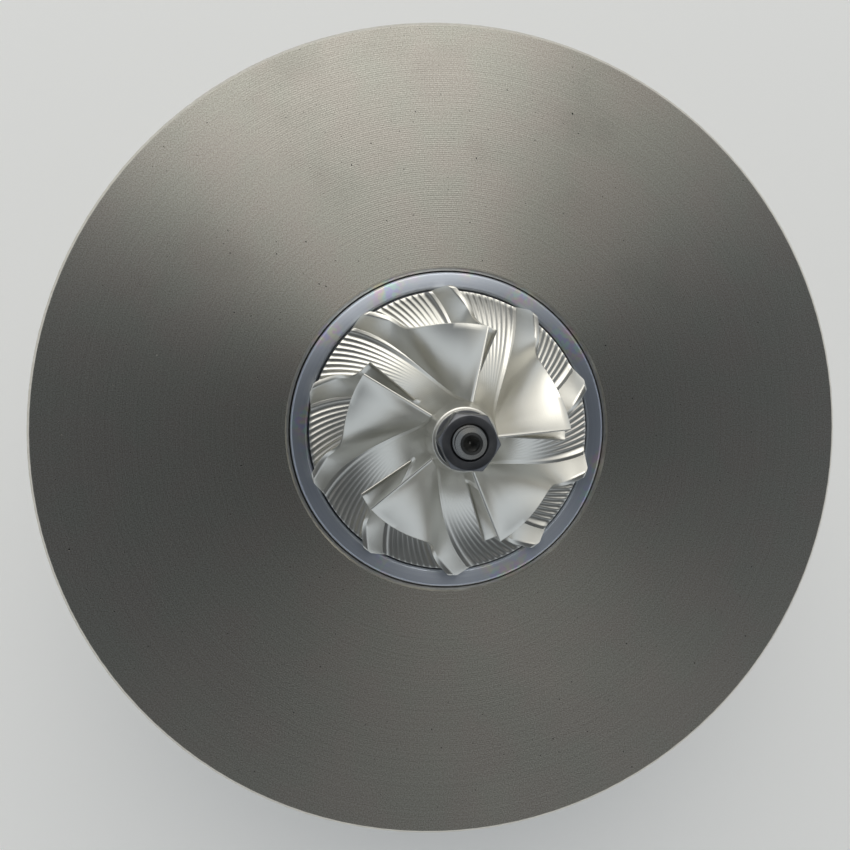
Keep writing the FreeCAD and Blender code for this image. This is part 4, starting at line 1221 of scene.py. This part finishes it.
@dataclass(frozen=True)
class LockNut:
    """Hexagon lock nut with a round collar, chamfered corners and a countersunk bore."""

    across_flats: float = 8.0
    bottom: float = 21.3
    top: float = 26.2
    collar_radius: float = 4.4
    collar_height: float = 1.1
    face_radius: float = 3.88
    corner_drop: float = 0.5
    sink_radius: float = 2.75
    bore_radius: float = 2.51
    first_corner: float = -5.0
    # The higher the power, the sharper the hexagon's upright corners.
    corner_power: int = 60
    columns: int = 360

    def outline(self) -> Array:
        """Distance from the axis to the hexagon, with its corners slightly rounded.

        It is h / (sum of cos(a - a_i)^60)^(1/60) over the six flats, h being half the
        width across flats and a_i the direction of a flat.

        Returns:
            One distance for each column round the axis.
        """
        angle = np.linspace(0, FULL_TURN, self.columns, endpoint=False)
        flats = math.radians(self.first_corner + 30) + np.arange(6) * math.pi / 3
        facing = np.maximum(np.cos(angle[:, None] - flats), 0) ** self.corner_power
        return self.across_flats / 2 / facing.sum(axis=1) ** (1 / self.corner_power)

    def build(self, metal: Material) -> None:
        """Make the nut from a profile that changes round the axis with the hexagon.

        Beyond the top face the chamfer is a cone that falls by the corner's drop.

        Args:
            metal: the nut's material.
        """
        hexagon = self.outline()
        slope = self.corner_drop / (self.across_flats / math.sqrt(3) - self.face_radius)
        shoulder = self.bottom + self.collar_height
        chamfer = self.top - slope * (hexagon - self.face_radius)
        sink = self.top - (self.sink_radius - self.bore_radius)
        corners = [
            (self.bore_radius, self.bottom), (self.collar_radius, self.bottom),
            (self.collar_radius, shoulder), (hexagon, shoulder), (hexagon, chamfer),
            (self.face_radius, self.top), (self.sink_radius, self.top),
            (self.bore_radius, sink),
        ]
        profile = np.stack([
            np.stack(np.broadcast_arrays(radius, height, hexagon)[:2], axis=-1)
            for radius, height in corners])
        # Cut at each corner, in the order of the corners.
        breaks = (0.0, 0.12, 0.1, 0.05, 0.14, 0.14, 0.1, 0.0)
        nut = turned_piece("lock_nut_body", softened(profile, breaks), self.columns, crease=30.0)
        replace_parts(nut, "lock_nut")
        settle(nut, Body.ROTOR, [metal])


@dataclass(frozen=True)
class Insert:
    """Turned insert: the bright ring round the wheel, with its recess and seal bore."""

    recess_radius: float = 24.4
    # A little less than the solid's, so that the dark gap to the flange shows.
    outer_radius: float = 27.34
    recess_edge: float = -1.5
    recess_floor: float = -5.5
    foot: float = -13.5
    groove_top: float = -7.8
    groove_bottom: float = -10.2
    groove_floor: float = 25.8
    seal_radius: float = 7.5
    seal_land: float = 1.0
    chamber_radius: float = 15.0
    chamber_top: float = -10.2
    lip_height: float = 0.6
    lip_width: float = 2.0
    chamfer: float = 0.35

    def build(self, metal: Material) -> None:
        """Turn the insert's closed profile, its edges lightly broken.

        Args:
            metal: the insert's material.
        """
        inner, outer, chamfer, foot = (
            self.recess_radius, self.outer_radius, self.chamfer, self.foot)
        lip, lip_radius = foot + self.lip_height, self.chamber_radius + self.lip_width
        profile = np.array([
            (inner, self.recess_edge), (inner, -chamfer), (inner + chamfer, 0),
            (outer - chamfer, 0), (outer, -chamfer), (outer, self.groove_top),
            (self.groove_floor, self.groove_top), (self.groove_floor, self.groove_bottom),
            (outer, self.groove_bottom), (outer, foot + chamfer), (outer - chamfer, foot),
            (lip_radius, foot), (lip_radius, lip), (self.chamber_radius, lip),
            (self.chamber_radius, self.chamber_top), (self.seal_radius, self.chamber_top),
            (self.seal_radius, self.recess_floor),
            (self.seal_radius + self.seal_land, self.recess_floor),
        ])
        # Cut at each corner, in the order of the profile.
        breaks = (0.1, 0.08, 0.12, 0.12, 0.12) + (0.0,) * 12 + (0.3,)
        ring = turned_piece("insert_turning", softened(profile, breaks), columns=512)
        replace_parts(ring, "insert")
        settle(ring, Body.HOUSING, [metal])


def face_places(item: Object) -> tuple[Array, Array]:
    """Middles and outward directions of a piece's faces.

    Args:
        item: the piece.

    Returns:
        Middles in millimetres and unit normals, each as three arrays for X, Y and Z.
    """
    found = []
    for value in ("center", "normal"):
        flat = np.zeros(3 * len(item.data.polygons))
        item.data.polygons.foreach_get(value, flat)
        found.append(flat.reshape(-1, 3).T)
    return found[0] / MM, found[1]


@dataclass(frozen=True)
class BearingHousing:
    """Cast housing: machined where it seats, as cast everywhere else."""

    face_depth: float = 1.0
    rim_land_radius: float = 61.9
    rim_radius: float = 69.0
    rim_back: float = -6.2
    seat_radius: float = 29.0
    bore_foot: float = -24.0
    neck_top: float = -12.0
    clamp_from: float = -44.0
    clamp_bore: float = 12.0
    inlet_face: float = 35.9
    drain_face: float = -37.9
    # Upward part of the normal: above the first a face is level, between the others it
    # belongs to an edge break.
    level_from: float = 0.9
    edge_slope: tuple[float, float] = (0.3, 0.95)

    def build(self, machined: Material, cast: Material, edge: Material) -> None:
        """Join the solid's triangles and tell machined faces and edge breaks from cast ones.

        Args:
            machined: material of the faces that are cut.
            cast: material of the faces left as cast.
            edge: material of the edge breaks round the flange face and its bore, whose lighter
                colour is a painted highlight.
        """
        item = joined_copy("bearing_housing", "bearing_housing_casting", crease=30.0)
        (x, y, z), (out_x, out_y, up) = face_places(item)
        radius = np.hypot(x, y)
        is_bore = (x * out_x + y * out_y < 0) | (up > self.level_from)
        is_cut = (z > -self.face_depth) | (radius > self.rim_radius)
        is_cut |= (radius > self.rim_land_radius) & (z > self.rim_back)
        is_cut |= (radius < self.seat_radius) & (z > self.bore_foot) & is_bore
        is_cut |= (z < self.clamp_from) & (radius > self.clamp_bore)
        is_cut |= ((y > self.inlet_face) | (y < self.drain_face)) & (z < self.neck_top)
        least, most = self.edge_slope
        # Edge breaks near the flange face get the lighter iron, a painted highlight line.
        is_highlight_edge = (z > -self.face_depth) & (up > least) & (up < most)
        choice = np.where(is_highlight_edge, 2, np.where(is_cut, 0, 1)).astype(np.int32)
        item.data.polygons.foreach_set("material_index", choice)
        settle(item, Body.HOUSING, [machined, cast, edge])


@dataclass(frozen=True)
class TurbineRotor:
    """Shaft and cast turbine wheel in one piece."""

    weld_height: float = -58.5

    def build(self, ground: Material, cast: Material) -> None:
        """Join the solid's triangles; the shaft is ground and the wheel is as cast.

        Args:
            ground: material of the shaft.
            cast: material of the turbine wheel.
        """
        item = joined_copy("shaft_and_turbine_wheel", "shaft_and_turbine", crease=32.0)
        is_cast = face_places(item)[0][2] < self.weld_height
        item.data.polygons.foreach_set("material_index", is_cast.astype(np.int32))
        settle(item, Body.ROTOR, [ground, cast])


# ---------------------------------------------------------------- studio


@dataclass(frozen=True)
class Studio:
    """Pale floor, soft light that is dimmer straight above, and the camera."""

    floor_colour: str = "#f6f5f2"
    floor_size: float = 9000.0
    floor_gap: float = 0.02
    # Upward part of a direction, and light level, where the sky is dimmest and brightest.
    dim_sky: tuple[float, float] = (0.78, 0.1)
    bright_sky: tuple[float, float] = (0.3, 1.1)
    # Direction of the window, cosines of its edge and heart, and its level.
    window_way: tuple[float, float, float] = (0.02, 0.77, 0.64)
    window_edge: float = 0.56
    window_heart: float = 0.95
    window_level: float = 1.25
    sky_colour: str = "#e4ecf5"
    window_colour: str = "#fffefa"
    lamp_place: tuple[float, float, float] = (-140, 700, 760)
    lamp_size: tuple[float, float] = (900, 700)
    lamp_watts: float = 3.0
    lamp_colour: str = "#fffefb"
    camera_place: tuple[float, float, float] = (-15.761, 10.079, 140.360)
    camera_turn: tuple[float, float, float] = (-0.5175, -5.4807, 0.0)
    lens: float = 34.505
    shift: tuple[float, float] = (-0.01304, -0.05441)

    def floor(self) -> None:
        """Lay the floor under the lowest point of the part."""
        half, low = self.floor_size / 2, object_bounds()[0].z / MM - self.floor_gap
        corners = [(-half, -half, low), (half, -half, low), (half, half, low), (-half, half, low)]
        mesh = bpy.data.meshes.new("floor")
        mesh.from_pydata((np.array(corners) * MM).tolist(), [], [(0, 1, 2, 3)])
        item = bpy.data.objects.new("floor", mesh)
        bpy.context.scene.collection.objects.link(item)
        # Uncoated paper: white, dull and even.
        paper = GrainedFinish("floor_paper", (self.floor_colour,) * 2, 0.9, metallic=0.0)
        item.data.materials.append(paper.build())
        item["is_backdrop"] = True

    def sky(self) -> None:
        """Light from all round, dim straight above, with a broad window towards +Y."""
        world = bpy.data.worlds.new("studio")
        world.use_nodes = True
        bpy.context.scene.world = world
        world.node_tree.nodes.clear()
        add = partial(add_node, world.node_tree)
        way = add("TexCoord").outputs["Generated"]
        raised = add("MapRange", {
            "Value": add("SeparateXYZ", {0: way}).outputs["Z"],
            "From Min": self.dim_sky[0], "To Min": self.dim_sky[1],
            "From Max": self.bright_sky[0], "To Max": self.bright_sky[1],
        }, interpolation_type="SMOOTHSTEP")
        window = add("MapRange", {
            "Value": add("VectorMath", {0: way, 1: self.window_way}, operation="DOT_PRODUCT"),
            "From Min": self.window_edge, "From Max": self.window_heart,
            "To Min": 0.0, "To Max": self.window_level,
        }, interpolation_type="SMOOTHSTEP")
        level = add("Math", {0: raised, 1: window}, operation="MAXIMUM")
        colour = add("Mix", {
            0: window, 6: linear(self.sky_colour), 7: linear(self.window_colour),
        }, data_type="RGBA")
        light = add("Background", {"Color": colour, "Strength": level})
        add("OutputWorld", {"Surface": light})

    def lamp(self) -> None:
        """Hang a large dim softbox that faces the wheel."""
        light = bpy.data.lights.new("softbox", "AREA")
        light.shape = "RECTANGLE"
        light.size, light.size_y = (width * MM for width in self.lamp_size)
        light.energy = self.lamp_watts
        light.color = linear(self.lamp_colour)[:3]
        item = bpy.data.objects.new("softbox", light)
        item.location = [value * MM for value in self.lamp_place]
        item.rotation_euler = (-item.location).to_track_quat("-Z", "Y").to_euler()
        bpy.context.scene.collection.objects.link(item)

    def camera(self) -> None:
        """Set up the camera above the wheel."""
        data = bpy.data.cameras.new("camera")
        data.lens, data.sensor_width = self.lens, 36.0
        data.shift_x, data.shift_y = self.shift
        data.clip_start, data.clip_end = 0.01, 10.0
        item = bpy.data.objects.new("camera", data)
        item.location = [value * MM for value in self.camera_place]
        item.rotation_euler = [math.radians(turn) for turn in self.camera_turn]
        bpy.context.scene.collection.objects.link(item)
        bpy.context.scene.camera = item

    def build(self) -> None:
        """Set up floor, light and camera."""
        self.floor()
        self.sky()
        self.lamp()
        self.camera()
        bpy.context.scene.view_settings.view_transform = "Standard"


def dress_solids(finishes: dict[str, Material]) -> None:
    """Give a finish to every solid that is shown as it is.

    Args:
        finishes: material by the solid's name.
    """
    for node, material in finishes.items():
        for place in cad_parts[node].material_slots:
            place.material = material
        LOG.info("%s: %s", node, material.name)


def main() -> None:
    """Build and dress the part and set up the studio."""
    logging.basicConfig(level=logging.INFO, format="%(name)s %(message)s")
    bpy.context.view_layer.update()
    ground, bronze = GroundSteel().build(), BearingBronze().build()
    sheet, black = PressedStainless().build(), BlackOxideSteel().build()
    BearingHousing().build(
        FacedIron().build(), SandCastIron().build(), EdgeHighlightIron().build())
    Insert().build(FineTurnedAluminium().build())
    CompressorWheel().build(MilledAluminium().build())
    LockNut().build(black)
    TurbineRotor().build(ground, InvestmentCastAlloy().build())
    shield = joined_copy("heat_shield", "heat_shield_cup", crease=30.0)
    settle(shield, Body.HOUSING, [sheet])
    dress_solids({
        "insert_screws": black, "insert_o_ring": SealRubber().build(),
        "oil_deflector": sheet, "thrust_bearing": bronze, "thrust_bearing_pins": ground,
        "journal_bearing": bronze, "bearing_pin": ground, "compressor_seal_ring": ground,
        "turbine_seal_ring": ground, "thrust_washer": ground, "oil_flinger_sleeve": ground,
    })
    Studio().build()


if __name__ == "__main__":
    main()
